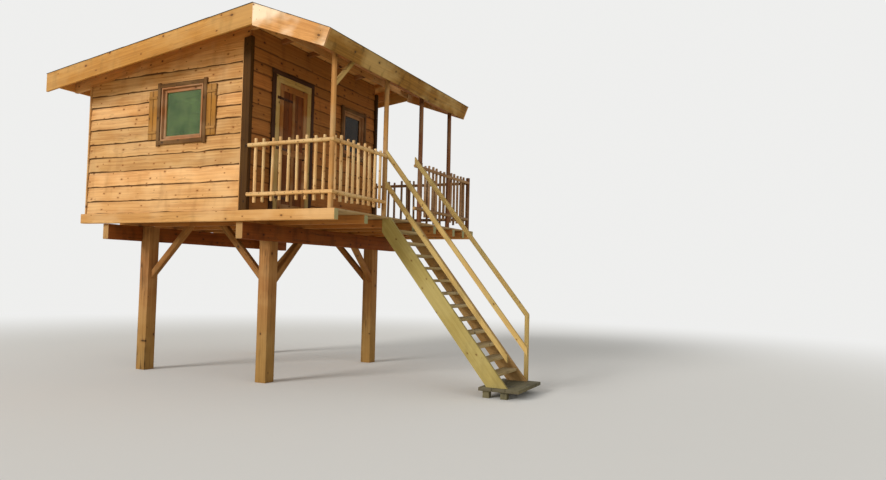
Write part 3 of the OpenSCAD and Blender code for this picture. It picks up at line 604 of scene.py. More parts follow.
OLIVE_FASCIA = TimberFinish(
    "eave_fascia_board", "9E7234", "5E4014", pale="D0B47C", dirt="3A2A10", end="C89C60", knot="3E2C12",
    knot_size=0.016, knot_along=0.6, knot_across=0.2, wander=0.12, bleach=0.5, dirty=0.8, tint=0.2,
    streak=0.55,
)
POST = TimberFinish(
    "post_timber", "AA7A4A", "744820", knot="3E2614", end="A88050", pale="C09A68", dirt="44301A",
    ring_gap=0.009, ring=0.4, checks=1.0, bleach=0.3, dirty=0.4, tint=0.12, knot_size=0.016, knots=0.5,
    knot_along=0.5, knot_across=0.16, wander=0.03, bump=0.0028, low=("8E7640", 0.5, 0.3, 1.6),
)
BEAM = TimberFinish(
    "beam_timber", "86481C", "58290C", knot="2C170B", end="C09A66", pale="9C6430", dirt="2A170A",
    checks=0.8, dirty=0.4, tint=0.15, bump=0.0022,
)
BRACE = replace(POST, name="brace_timber", light="946434", deep="643E1A", checks=0.8, low=None)
JOIST = TimberFinish(
    "joist_timber", "AE7238", "7A461E", end="92A27C", pale="BE9262", dirt="402C1A", checks=0.5, tint=0.2,
)
RIM = TimberFinish(
    "rim_joist", "CE9E62", "A26C34", end="929C78", pale="E4C294", dirt="7A5A34", checks=0.4, knots=0.5,
    knot_along=0.45, bleach=0.3, dirty=0.2, tint=0.1,
)
DECKING = TimberFinish(
    "deck_board", "AE8C5C", "80603A", edge="46341F", end="8C9478", pale="BDAA8C", dirt="50402C", bleach=0.5,
    dirty=0.45, checks=0.5,
)
# Pale pine: painted light that stands for the bounce light on the ceiling under the roof
PAINTED_LIGHT_ROOF_BOARD = TimberFinish(
    "roof_board", "F2BC7C", "C28848", knot="4A2810", end="8A5A34", pale="ECBE84", dirt="6A4420", tint=0.4,
    bleach=0.2, dirty=0.2,
)
RAFTER = TimberFinish("rafter_timber", "B07444", "7A4A26", knot="2E180B", end="A07044", tint=0.2, dirty=0.2)
# A lighter copy of the rafter timber for the rafters that show at the gables: painted light under the eave
PAINTED_LIGHT_RAFTER = replace(RAFTER, name="painted_light_rafter_timber", light="D49858", deep="A06830")
RIDGE = TimberFinish("ridge_timber", "D09A60", "A06A38", knot="44260F", end="B08250", tint=0.2, dirty=0.15)
CASING = TimberFinish(
    "window_casing", "6C4A26", "3C2610", knot="2A1A10", end="8A6A48", pale="94744E", dirt="2E2118",
    bleach=0.45, dirty=0.4, checks=0.7, tint=0.25,
)
SASH = TimberFinish("window_sash", "A8744A", "7C4A2A", knot="4A2814", end="96643C", tint=0.2, knots=0.3)
SHUTTER = TimberFinish(
    "shutter_board", "A8742E", "724A16", knot="4A2C14", end="9A703E", pale="B49468", dirt="5C4626", tint=0.4,
    dirty=0.35, edge_share=0.5, edge="4A3018",
)
DOOR_FRAME = TimberFinish(
    "door_frame_timber", "CCAC6C", "967A42", knot="4E3A1E", end="8E7444", pale="DCC898", dirt="5A4A28",
    bleach=0.4, tint=0.2,
)
DOOR_BOARD = TimberFinish(
    "door_board", "844A24", "562E12", knot="341C10", end="84522E", pale="A67A54", dirt="36200F", tint=0.35,
    edge_share=0.5, edge="38200F",
)
DOOR_RAIL = TimberFinish("door_rail", "A87038", "76481C", knot="3E2412", end="946638", tint=0.2)
TRIM = TimberFinish(
    "door_trim_board", "4E3220", "301C12", knot="1A0F09", end="5A4030", pale="5C4434", dirt="1E130C",
    tint=0.2,
)
PORCH_POLE = TimberFinish(
    "porch_pole", "C08E54", "926030", knot="4A2A14", end="A87C4A", pale="B8A078", dirt="5A4630",
    ring=0.15, streak=0.6, knot_size=0.01, knot_along=0.3, knot_across=0.1, bleach=0.4, dirty=0.35,
    checks=0.7, tint=0.25,
)
RAIL_POLE = TimberFinish(
    "rail_pole", "DDB27A", "B58650", knot="6A4422", end="C09A62", pale="E6CFA0", dirt="8C7044", ring=0.12,
    streak=0.55, knot_size=0.009, knot_along=0.22, knot_across=0.06, knots=0.7, bleach=0.45, dirty=0.3,
    checks=0.5,
)
# Darker copies of the pole finishes for the far poles, posts and rails: painted shade
PAINTED_SHADE_POLE = replace(
    PORCH_POLE, name="painted_shade_porch_pole", light="8A5C3C", deep="5A3420", pale="94785C", dirt="3A281C",
)
PAINTED_SHADE_RAIL = replace(
    RAIL_POLE, name="painted_shade_rail_pole", light="A07C58", deep="704A30", pale="AE9678", dirt="54402C",
)
NEW_PINE = TimberFinish(
    "new_stair_pine", "A6955A", "8A763E", knot="6A4A28", end="9C8C58", pale="B6A872", dirt="6E6038",
    ring=0.4, knot_size=0.011, knot_along=0.42, knot_across=0.16, bleach=0.35, dirty=0.3,
    tint=0.12, checks=0.25,
)
INNER_PINE = replace(NEW_PINE, name="shaded_stair_pine", light="A88454", deep="7E5C34", pale="B89A6C")
STAIR_RAIL = replace(NEW_PINE, name="stair_rail_pine", light="C2A468", deep="9C7C44", dirty=0.35)
TREAD = TimberFinish(
    "tread_timber", "B09A6C", "7E6844", knot="3E2E22", end="7C6444", pale="B8A886", dirt="4A3C30",
    bleach=0.5, dirty=0.45, tint=0.25, checks=0.5,
)
FOOT = TimberFinish(
    "foot_board", "6C664E", "484232", knot="2C2720", end="5E5848", pale="7E7860", dirt="342F26", bleach=0.5,
    dirty=0.5, tint=0.2, checks=0.7,
)


# Timbers


@dataclass(frozen=True)
class Working:
    """How a timber is worked before it is fixed.

    Attributes:
        ease: Width of the eased edges.
        rounds: Steps in each eased edge.
        step: Distance between the cross lines that let it bend.
        bow: How far it wanders from a straight line.
        wane: How far its lower edge waves.
        heart: How far the tree's heart lies behind its middle.
        lap: Thickness at the lower and the upper edge of a lap board, and how far its face leans in.
    """

    ease: float = 0.004
    rounds: int = 2
    step: float = 0.3
    bow: float = 0.0015
    wane: float = 0.0
    heart: float = 0.07
    lap: Optional[tuple[float, float, float]] = None


SAWN = Working()
SQUARE = Working(ease=0.008, bow=0.003, heart=0.02, step=0.25)
ROUGH = Working(ease=0.003, rounds=1, step=0.6, bow=0.002)
WANEY = Working(step=0.07, bow=0.001, wane=0.012, lap=(0.0205, 0.0035, 0.0188))
POLE = Working(ease=0.008, step=0.16, bow=0.005, heart=0.0)


def add_object(name: str, data: bpy.types.ID) -> bpy.types.Object:
    """Adds an object to the scene.

    Args:
        name: Its name.
        data: Its mesh, lamp or camera.

    Returns:
        The object.
    """
    obj = bpy.data.objects.new(name, data)
    bpy.context.scene.collection.objects.link(obj)
    return obj


def whole(mesh: bmesh.types.BMesh) -> list:
    """Returns every point, edge and face of a mesh."""
    return mesh.verts[:] + mesh.edges[:] + mesh.faces[:]


class Timber:
    """One length of timber: X along it, Y across its face and Z out of its face, until it is set."""

    def __init__(self, size: Vector, working: Working, draw: random.Random) -> None:
        """Makes the timber's solid.

        Args:
            size: Length, width and thickness.
            working: How it is worked.
            draw: The piece's own random draws.
        """
        self.size = size
        self.working = working
        self.draw = draw
        self.along = Way.FRONT.vector
        self.mesh = bmesh.new()
        self.mesh.verts.layers.float_vector.new(GRAIN)
        self.mesh.verts.layers.float_vector.new(PLACE)
        self.mesh.faces.layers.float.new(END)

    @classmethod
    def sawn(cls, size: Vector, working: Working, draw: random.Random) -> "Timber":
        """Saws a board or a beam.

        Args:
            size: Length, width and thickness.
            working: How it is worked.
            draw: The piece's own random draws.

        Returns:
            The timber, from 0 to its length along X.
        """
        timber = cls(size, working, draw)
        mesh = timber.mesh
        bmesh.ops.create_cube(mesh, size=1.0)
        bmesh.ops.scale(mesh, vec=size, verts=mesh.verts[:])
        bmesh.ops.translate(mesh, vec=(size.x / 2, 0.0, 0.0), verts=mesh.verts[:])
        timber._ease(mesh.edges[:])
        timber._finish_shape()
        return timber

    @classmethod
    def round(cls, size: Vector, working: Working, draw: random.Random) -> "Timber":
        """Peels a pole.

        Args:
            size: Length, diameter at the start and diameter at the end.
            working: How it is worked.
            draw: The piece's own random draws.

        Returns:
            The timber, from 0 to its length along X.
        """
        timber = cls(size, working, draw)
        mesh = timber.mesh
        ends = {"radius1": size.y / 2, "radius2": size.z / 2}
        bmesh.ops.create_cone(mesh, cap_ends=True, segments=14, depth=size.x, **ends)
        bmesh.ops.rotate(mesh, matrix=Matrix.Rotation(math.pi / 2, 3, "Y"), verts=mesh.verts[:])
        bmesh.ops.translate(mesh, vec=(size.x / 2, 0.0, 0.0), verts=mesh.verts[:])
        rims = [edge for edge in mesh.edges if abs(edge.verts[0].co.x - edge.verts[1].co.x) < size.x / 2]
        timber._ease(rims)
        for face in mesh.faces:
            face.smooth = True
        timber._finish_shape()
        return timber

    def _ease(self, edges: list) -> None:
        """Takes the sharpness off edges."""
        if self.working.ease:
            bmesh.ops.bevel(
                self.mesh, geom=edges, offset=self.working.ease, offset_type="OFFSET",
                segments=self.working.rounds, profile=0.5, affect="EDGES", material=-1, clamp_overlap=True,
            )

    def _finish_shape(self) -> None:
        """Divides the timber, bends it and marks its grain."""
        long_ = [e for e in self.mesh.edges if abs(e.verts[0].co.x - e.verts[1].co.x) > self.size.x / 2]
        cuts = max(1, round(self.size.x / self.working.step))
        bmesh.ops.subdivide_edges(self.mesh, edges=long_, cuts=cuts, use_grid_fill=True)
        self._mark()
        self._bend()

    def _mark(self) -> None:
        """Writes where each point lies in the tree and in the timber."""
        work, size, draw = self.working, self.size, self.draw
        grain = self.mesh.verts.layers.float_vector[GRAIN]
        place = self.mesh.verts.layers.float_vector[PLACE]
        start = Vector((draw.uniform(0, 40), 0, 0))
        heart = Vector((0, draw.uniform(-0.5, 0.5) * size.y, work.heart + draw.uniform(0, 0.02)))
        tint = draw.random()
        for vert in self.mesh.verts:
            vert[grain] = vert.co + start + heart
            vert[place] = Vector((size.y / 2 + vert.co.y, size.y / 2 - vert.co.y, tint))
        end = self.mesh.faces.layers.float[END]
        self.mesh.normal_update()
        for face in self.mesh.faces:
            face[end] = 1.0 if abs(face.normal.x) > 0.9 else 0.0

    def _bend(self) -> None:
        """Gives the timber its bow, its wavy edge and the slope of a lap board."""
        work, size = self.working, self.size
        seed = self.draw.uniform(0, 100)
        for vert in self.mesh.verts:
            x, y, z = vert.co
            across = y / size.y + 0.5
            if work.lap:
                low, high, lean = work.lap
                outer = size.z / 2 - lean * across
                inner = outer - (low + (high - low) * across)
                vert.co.z = inner + (z / size.z + 0.5) * (outer - inner)
            slow = Vector((x * 0.8, seed, 0.0))
            vert.co.y += work.bow * 2 * noise.noise(slow)
            vert.co.z += work.bow * noise.noise(slow + Vector((0, 9, 0)))
            if work.wane and across < 0.3:
                wave = noise.noise(Vector((x * 2.0, seed, 5))) + 0.7 * noise.noise(Vector((x * 7.0, seed, 7)))
                dip = max(0.0, noise.noise(Vector((x * 3.1, seed, 11))) - 0.2)
                vert.co.y += work.wane * (wave - 2.0 * dip)

    def set(self, start: Vector, along: Vector, out: Vector) -> "Timber":
        """Moves the timber to its place in the house.

        Args:
            start: The middle of its starting end.
            along: The direction that it runs in.
            out: The direction that its face looks in.

        Returns:
            The timber itself.
        """
        along = along.normalized()
        out = (out - along * out.dot(along)).normalized()
        across = out.cross(along)
        self.along = along
        turn = Matrix((along, across, out)).transposed().to_4x4()
        bmesh.ops.transform(self.mesh, matrix=Matrix.Translation(start) @ turn, verts=self.mesh.verts[:])
        return self

    def copy(self) -> "Timber":
        """Returns a second timber of the same shape in the same place."""
        twin = Timber.__new__(Timber)
        twin.size, twin.working, twin.draw, twin.along = self.size, self.working, self.draw, self.along
        twin.mesh = self.mesh.copy()
        return twin

    def cut(self, point: Vector, normal: Vector) -> "Timber":
        """Saws the timber along a plane and keeps what lies behind it.

        Args:
            point: A point on the plane.
            normal: The direction of the part that falls away.

        Returns:
            The timber itself.
        """
        mesh = self.mesh
        made = bmesh.ops.bisect_plane(
            mesh, geom=whole(mesh), dist=1e-6, plane_co=point, plane_no=normal, clear_outer=True
        )
        rim = [e for e in made["geom_cut"] if isinstance(e, bmesh.types.BMEdge) and e.is_boundary]
        if rim:
            end = mesh.faces.layers.float[END]
            is_end = 1.0 if abs(Vector(normal).normalized().dot(self.along)) > 0.4 else 0.0
            for face in bmesh.ops.edgeloop_fill(mesh, edges=rim)["faces"]:
                face[end] = is_end
            bmesh.ops.recalc_face_normals(mesh, faces=mesh.faces[:])
        return self


@dataclass(frozen=True)
class Opening:
    """A rectangular hole through boards.

    Attributes:
        axes: Numbers of the two house axes that it is measured on.
        low: Its low corner on them.
        high: Its high corner on them.
    """

    axes: tuple[int, int]
    low: tuple[float, float]
    high: tuple[float, float]

    def plane(self, axis: int, value: float, way: int) -> Plane:
        """Returns the plane across one axis at a value, with its falling side."""
        point, normal = Vector((0, 0, 0)), Vector((0, 0, 0))
        point[self.axes[axis]] = value
        normal[self.axes[axis]] = way
        return point, normal

    def clear(self, timber: Timber) -> list[Timber]:
        """Takes the opening out of a timber.

        Args:
            timber: A timber that is set in its place.

        Returns:
            The parts that are left round the opening.
        """
        spans = [[v.co[axis] for v in timber.mesh.verts] for axis in self.axes]
        for span, low, high in zip(spans, self.low, self.high):
            if max(span) <= low or min(span) >= high:
                return [timber]
        before = timber.copy().cut(*self.plane(0, self.low[0], 1))
        after = timber.copy().cut(*self.plane(0, self.high[0], -1))
        timber.cut(*self.plane(0, self.low[0], -1)).cut(*self.plane(0, self.high[0], 1))
        over = timber.copy().cut(*self.plane(1, self.high[1], -1))
        under = timber.cut(*self.plane(1, self.low[1], 1))
        return [part for part in (before, after, over, under) if part.mesh.faces]


class Piece:
    """One named piece of the house: its timbers joined in one mesh."""

    def __init__(self, name: str, slot: Slot, nodes: Sequence[str] = (), body: str = "house") -> None:
        """Starts an empty piece.

        Args:
            name: The piece's name.
            slot: A material slot from the record of the part; not used.
            nodes: The solids of the frame that it stands for.
            body: The body that it rides on.
        """
        self.name = name
        self.slot = slot
        self.nodes = nodes
        self.body = body
        self.draw = random.Random(name)
        self.mesh = bmesh.new()
        self.finishes: list[object] = []

    def add(
        self, timber: Timber, finish: object, cuts: Iterable[Plane] = (), openings: Iterable[Opening] = ()
    ) -> None:
        """Joins a timber to the piece.

        Args:
            timber: A timber that is set in its place.
            finish: The finish that it takes.
            cuts: Planes that it is sawn along.
            openings: Holes that it is cut round.
        """
        for point, normal in cuts:
            timber.cut(point, normal)
        if not timber.mesh.faces:
            timber.mesh.free()
            return
        parts = [timber]
        for opening in openings:
            parts = [left for part in parts for left in opening.clear(part)]
        if finish not in self.finishes:
            self.finishes.append(finish)
        index = self.finishes.index(finish)
        for part in parts:
            for face in part.mesh.faces:
                face.material_index = index
            scratch = bpy.data.meshes.new("scratch")
            part.mesh.to_mesh(scratch)
            part.mesh.free()
            self.mesh.from_mesh(scratch)
            bpy.data.meshes.remove(scratch)

    def board(
        self, first: Sequence[float], second: Sequence[float], along: Way, out: Way, finish: object,
        working: Working = SAWN, cuts: Iterable[Plane] = (), openings: Iterable[Opening] = (),
    ) -> None:
        """Adds a board that fills the space between two opposite corners.

        Args:
            first: One of its corners.
            second: The corner that lies opposite.
            along: The direction that its grain runs in.
            out: The direction that its face looks in.
            finish: The finish that it takes.
            working: How it is worked.
            cuts: Planes that it is sawn along.
            openings: Holes that it is cut round.
        """
        corners = Vector(first), Vector(second)
        room = corners[1] - corners[0]
        across = out.vector.cross(along.vector)
        size = Vector([abs(room.dot(axis)) for axis in (along.vector, across, out.vector)])
        start = (corners[0] + corners[1]) / 2 - along.vector * size.x / 2
        timber = Timber.sawn(size, working, self.draw).set(start, along.vector, out.vector)
        self.add(timber, finish, cuts, openings)

    def strut(
        self, start: Sequence[float], stop: Sequence[float], section: tuple[float, float], out: Way,
        finish: object, working: Working = SAWN, cuts: Iterable[Plane] = (),
    ) -> None:
        """Adds a sawn timber between two points of its middle line.

        Args:
            start: The middle of its starting end.
            stop: The middle of its other end.
            section: Its width across the face and its thickness.
            out: The direction that its face looks in.
            finish: The finish that it takes.
            working: How it is worked.
            cuts: Planes that it is sawn along.
        """
        run = Vector(stop) - Vector(start)
        size = Vector((run.length, section[0], section[1]))
        timber = Timber.sawn(size, working, self.draw).set(Vector(start), run, out.vector)
        self.add(timber, finish, cuts)

    def pole(
        self, start: Sequence[float], stop: Sequence[float], ends: tuple[float, float], finish: object,
        working: Working = POLE,
    ) -> None:
        """Adds a round pole between two points.

        Args:
            start: The middle of its starting end.
            stop: The middle of its other end.
            ends: Its diameter at the start and at the stop.
            finish: The finish that it takes.
            working: How it is worked.
        """
        run = Vector(stop) - Vector(start)
        out = Way.NEAR.vector if abs(run.normalized().y) < 0.7 else Way.FRONT.vector
        spin = Matrix.Rotation(self.draw.uniform(-0.6, 0.6), 3, run.normalized())
        timber = Timber.round(Vector((run.length, *ends)), working, self.draw)
        self.add(timber.set(Vector(start), run, spin @ out), finish)

    def screw(self, at: Vector, out: Vector) -> None:
        """Adds the countersunk head of a screw, level with the timber.

        Args:
            at: The middle of the head on the timber's face.
            out: The direction that the face looks in.
        """
        head = Timber(Vector((0.01, 0.01, 0.01)), SAWN, self.draw)
        ends = {"radius1": 0.0075, "radius2": 0.0045}
        bmesh.ops.create_cone(head.mesh, cap_ends=True, segments=8, depth=0.008, **ends)
        head.set(at, out.orthogonal(), out)
        self.add(head, SCREW)

    def finish(self) -> bpy.types.Object:
        """Makes the piece an object that rides on its body.

        Returns:
            The new object.
        """
        bmesh.ops.translate(self.mesh, vec=HOUSE_SHIFT, verts=self.mesh.verts[:])
        data = bpy.data.meshes.new(self.name)
        self.mesh.to_mesh(data)
        self.mesh.free()
        for finish in self.finishes:
            data.materials.append(finish.material())
        data.set_sharp_from_angle(angle=math.radians(40))
        obj = add_object(self.name, data)
        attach(obj, self.body)
        if self.nodes:
            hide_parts(*self.nodes)
        LOG.info("%s: %d faces", self.name, len(data.polygons))
        return obj


# The house


@dataclass(frozen=True)
class RoofLines:
    """The lines of the uneven saddle roof that walls, rafters and boards are cut to."""

    ridge_x: float = 0.5
    ridge_z: float = 5.328
    back_fall: float = 0.124557
    front_fall: float = 0.404026
    back_end: float = -3.724
    front_end: float = 1.777
    side: tuple[float, float] = (-0.455, 3.955)

    def top(self, x: float) -> float:
        """Returns the height of the roof's top at a distance along X."""
        fall = self.back_fall if x < self.ridge_x else self.front_fall
        return self.ridge_z - abs(x - self.ridge_x) * fall

    def under(self, x: float, depth: float) -> float:
        """Returns the height at a depth square to the slope under the roof's top."""
        fall = self.back_fall if x < self.ridge_x else self.front_fall
        return self.top(x) - depth * math.hypot(1.0, fall)

    def plane(self, front: bool, depth: float, keep_over: bool = False) -> Plane:
        """Gives a slope as a plane to saw along.

        Args:
            front: Whether it is the slope over the porch.
            depth: Its depth under the roof's top, square to the slope.
            keep_over: Whether what lies over the plane is kept.

        Returns:
            A point and the direction of what falls away.
        """
        fall = self.front_fall if front else -self.back_fall
        normal = Vector((fall, 0.0, 1.0)).normalized()
        point = Vector((self.ridge_x, 0.0, self.ridge_z)) - normal * depth
        return point, -normal if keep_over else normal


ROOF = RoofLines()

# Depths square to the slope, from the roof's top to under the felt, the boards and the rafters
COVER = 0.0082
BOARDS = 0.0304
RAFTERS = 0.2106


@dataclass
class PostFrame:
    """Four notched posts, the two beams on their shoulders and the knee braces."""

    post: float = 0.2
    beam_w: float = 0.125
    post_x: tuple[float, float] = (-2.695, -0.145)
    post_y: tuple[float, float] = (0.82, 3.8)
    beam_x: tuple[float, float] = (-2.9, -0.125)
    beam_y: tuple[float, float] = (0.058, 4.558)
    bearing: tuple[float, float] = (0.02, 0.08)
    brace: tuple[float, float] = (0.1, 0.085)
    brace_foot: float = 1.59

    def build(self) -> None:
        """Builds the posts, the beams and the braces."""
        self.posts()
        self.beams()
        self.braces()

    def posts(self) -> None:
        """Builds the posts: a full section up to the shoulder, and the tongue drawn up out of it."""
        piece = Piece("posts_with_notches", Slot.OLD_PINE, ["posts"])
        half = self.post / 2
        for x, outer, bearing in zip(self.post_x, (-1, 1), self.bearing):
            for y in self.post_y:
                timber = Timber(Vector((BEAM_FOOT, self.post, self.post)), SQUARE, piece.draw)
                mesh = timber.mesh
                bmesh.ops.create_cube(mesh, size=1.0)
                bmesh.ops.scale(mesh, vec=timber.size, verts=mesh.verts[:])
                bmesh.ops.translate(mesh, vec=(BEAM_FOOT / 2, 0, 0), verts=mesh.verts[:])
                split = Vector((0.0, 0.0, outer * (half - bearing)))
                bmesh.ops.bisect_plane(mesh, geom=whole(mesh), plane_co=split, plane_no=(0, 0, 1))
                heads = [f for f in mesh.faces if f.normal.x > 0.9]
                tops = [f for f in heads if f.calc_center_median().z * outer < split.z * outer]
                drawn = bmesh.ops.extrude_face_region(mesh, geom=tops)["geom"]
                lifted = [v for v in drawn if isinstance(v, bmesh.types.BMVert)]
                bmesh.ops.translate(mesh, vec=(JOIST_FOOT - BEAM_FOOT, 0, 0), verts=lifted)
                bmesh.ops.delete(mesh, geom=tops, context="FACES_ONLY")
                bmesh.ops.dissolve_limit(mesh, angle_limit=0.01, verts=mesh.verts[:], edges=mesh.edges[:])
                mesh.normal_update()
                sharp = [e for e in mesh.edges if e.is_convex and e.calc_face_angle(0) > 1.0]
                timber._ease(sharp)
                self._divide(timber)
                timber.set(Vector((x, y, 0)), Way.UP.vector, Way.FRONT.vector)
                piece.add(timber, POST)
        piece.finish()

    def _divide(self, timber: Timber) -> None:
        """Puts cross lines into a post, marks its grain and bends it a little."""
        mesh = timber.mesh
        steps = int(JOIST_FOOT / SQUARE.step)
        for i in range(1, steps):
            place = (i * SQUARE.step, 0, 0)
            bmesh.ops.bisect_plane(mesh, geom=whole(mesh), plane_co=place, plane_no=(1, 0, 0))
        timber._mark()
        timber._bend()

    def beams(self) -> None:
        """Builds the two beams."""
        piece = Piece("main_beams", Slot.SHADED_TIMBER, ["beams"])
        for x in self.beam_x:
            low = (x, self.beam_y[0], BEAM_FOOT)
            high = (x + self.beam_w, self.beam_y[1], JOIST_FOOT)
            piece.board(low, high, Way.FAR, Way.FRONT, BEAM, SQUARE)
        piece.finish()

    def braces(self) -> None:
        """Builds the six braces, each sawn to its post and to what it holds up."""
        piece = Piece("knee_brace_timbers", Slot.OLD_PINE, ["knee_braces"])
        half = self.post / 2
        for y in self.post_y:
            for x, way in zip(self.post_x, (Way.FRONT, Way.BACK)):
                self._brace(piece, Vector((x, y, 0)) + way.vector * half, way, JOIST_FOOT)
        middle = self.post_x[1] + half - self.brace[1] / 2
        for y, way in zip(self.post_y, (Way.FAR, Way.NEAR)):
            self._brace(piece, Vector((middle, y, 0)) + way.vector * half, way, BEAM_FOOT)
        piece.finish()

    def _brace(self, piece: Piece, foot: Vector, way: Way, top: float) -> None:
        """Adds one brace at 45 degrees.

        Args:
            piece: The piece that it joins.
            foot: A point on the post's face under it.
            way: The direction that it leans in.
            top: The height of what it holds up.
        """
        out = Way.NEAR if way in (Way.FRONT, Way.BACK) else Way.FRONT
        slope = (way.vector + Way.UP.vector).normalized()
        below, spare = 0.12, 0.26
        start = Vector((foot.x, foot.y, self.brace_foot)) - slope * below
        stop = start + slope * ((top - self.brace_foot) * math.sqrt(2) + spare)
        cuts = [(foot, -way.vector), (Vector((0, 0, top)), Way.UP.vector)]
        piece.strut(start, stop, self.brace, out, BRACE, SQUARE, cuts)


@dataclass
class Deck:
    """The joists and the deck boards, with the opening for the trunk."""

    joist_w: float = 0.1
    joist_y: tuple[float, ...] = (0.023, 0.77, 1.519, 2.199, 2.9745, 3.75, 4.1715, 4.593)
    board_pitch: float = 0.15
    board_gap: float = 0.005
    trunk: Opening = Opening((0, 1), (0.31, 3.192), (0.71, 3.592))

    def build(self) -> None:
        """Builds the joists and the boards."""
        piece = Piece("deck_joists", Slot.OLD_PINE, ["joists"])
        half = self.joist_w / 2 - SQUARE.bow / 2
        for i, y in enumerate(self.joist_y):
            rim = i in (0, len(self.joist_y) - 1)
            top = DECK_TOP if rim else JOIST_TOP
            out = Way.NEAR if y < 2 else Way.FAR
            low, high = (DECK_X[0], y - half, JOIST_FOOT), (DECK_X[1], y + half, top)
            piece.board(low, high, Way.FRONT, out, RIM if rim else JOIST, SQUARE)
        piece.finish()
        boards = Piece("deck_floor", Slot.OLD_PINE, ["deck_boards"])
        inner = (DECK_Y[0] + self.joist_w, DECK_Y[1] - self.joist_w)
        count = math.ceil((DECK_X[1] - DECK_X[0]) / self.board_pitch)
        for i in range(count):
            x1 = DECK_X[1] - i * self.board_pitch
            x0 = max(DECK_X[0], x1 - self.board_pitch + self.board_gap)
            low, high = (x0, inner[0], JOIST_TOP), (x1, inner[1], DECK_TOP)
            boards.board(low, high, Way.FAR, Way.UP, DECKING, ROUGH, openings=[self.trunk])
        boards.finish()


@dataclass
class WindowUnit:
    """A fixed window: casing boards, lining, sash bars round the pane, and the hole that it fills.

    Attributes:
        name: What the window's pieces are named after.
        centre: Its middle on the outer face of the boards.
        out: The direction that it looks in.
        width: Its width over the casing.
        height: Its height over the casing.
        lift: How much further than the casing boards across the side ones run at their ends.
    """

    name: str
    centre: Vector
    out: Way
    width: float
    height: float
    lift: float = 0.018
    casing: float = 0.08
    proud: float = 0.024
    lining: float = 0.022
    sash: float = 0.05
    sash_back: float = 0.062

    @property
    def along(self) -> Way:
        """Returns the level direction that lies across the window."""
        return Way.FRONT if self.out is Way.NEAR else Way.FAR

    def opening(self) -> Opening:
        """Returns the hole through the wall."""
        axis = 0 if self.out is Way.NEAR else 1
        half = (self.width / 2 - self.casing, self.height / 2 - self.casing)
        middle = (self.centre[axis], self.centre.z)
        low, high = ((middle[0] + way * half[0], middle[1] + way * half[1]) for way in (-1, 1))
        return Opening((axis, 2), low, high)

    def bar(
        self, piece: Piece, span: tuple[float, float], rise: tuple[float, float],
        depth: tuple[float, float], finish: TimberFinish, upright: bool,
    ) -> None:
        """Adds one bar, measured from the window's middle.

        Args:
            piece: The piece that it joins.
            span: Where it starts and stops across the window.
            rise: Where it starts and stops upwards.
            depth: Where it starts and stops out of the wall's face.
            finish: The finish that it takes.
            upright: Whether its grain runs upwards.
        """
        corners = [
            self.centre + self.along.vector * span[i] + Way.UP.vector * rise[i] + self.out.vector * depth[i]
            for i in (0, 1)
        ]
        piece.board(*corners, Way.UP if upright else self.along, self.out, finish)

    def ring(
        self, piece: Piece, size: tuple[float, float], bar: float, depth: tuple[float, float],
        finish: TimberFinish, lift: float = 0.0,
    ) -> None:
        """Adds four bars round a rectangle, the upright ones running past the others.

        Args:
            piece: The piece that they join.
            size: Width and height over the bars.
            bar: Width of a bar.
            depth: Where they start and stop out of the wall's face.
            finish: The finish that they take.
            lift: How much further the upright ones run.
        """
        w, h = size[0] / 2, size[1] / 2
        for way in (-1, 1):
            self.bar(piece, (way * (w - bar), way * w), (-h - lift, h + lift), depth, finish, True)
            self.bar(piece, (-w + bar, w - bar), (way * (h - bar), way * h), depth, finish, False)

    def build(self) -> None:
        """Builds the window's frame."""
        piece = Piece(f"{self.name}_frame_boards", Slot.DARK_TIMBER, [f"{self.name}_frame"])
        hole = (self.width - 2 * self.casing, self.height - 2 * self.casing)
        size = (self.width, self.height - 2 * self.lift)
        self.ring(piece, size, self.casing - self.lift, (-0.004, self.proud), CASING, self.lift)
        self.ring(piece, hole, self.lining, (-WALL_T, self.proud - 0.006), SASH)
        inner = (hole[0] - 2 * self.lining, hole[1] - 2 * self.lining)
        self.ring(piece, inner, self.sash, (-self.sash_back, -0.022), SASH)
        piece.finish()


@dataclass
class Shutters:
    """The flat shutters beside the side window: two boards on two battens each, without hinges."""

    window: WindowUnit
    width: float = 0.188
    height: float = 0.76
    thick: float = 0.024

    def build(self) -> None:
        """Builds both shutters."""
        piece = Piece("shutter_boards", Slot.SHADED_TIMBER, ["side_window_shutters"])
        half = self.window.width / 2
        depth, batten_depth = (-0.004, 0.014), (0.0135, self.thick)
        joint, batten_half = 0.002, 0.022
        for way in (-1, 1):
            for i in (0, 1):
                start = half + i * self.width / 2 + joint
                stop = half + (i + 1) * self.width / 2 - joint
                rise = (-self.height / 2, self.height / 2)
                self.window.bar(piece, (way * start, way * stop), rise, depth, SHUTTER, True)
            for middle in (-0.27, 0.27):
                span = (way * (half + 0.006), way * (half + self.width - 0.01))
                rise = (middle - batten_half, middle + batten_half)
                self.window.bar(piece, span, rise, batten_depth, SHUTTER, False)
        piece.finish()


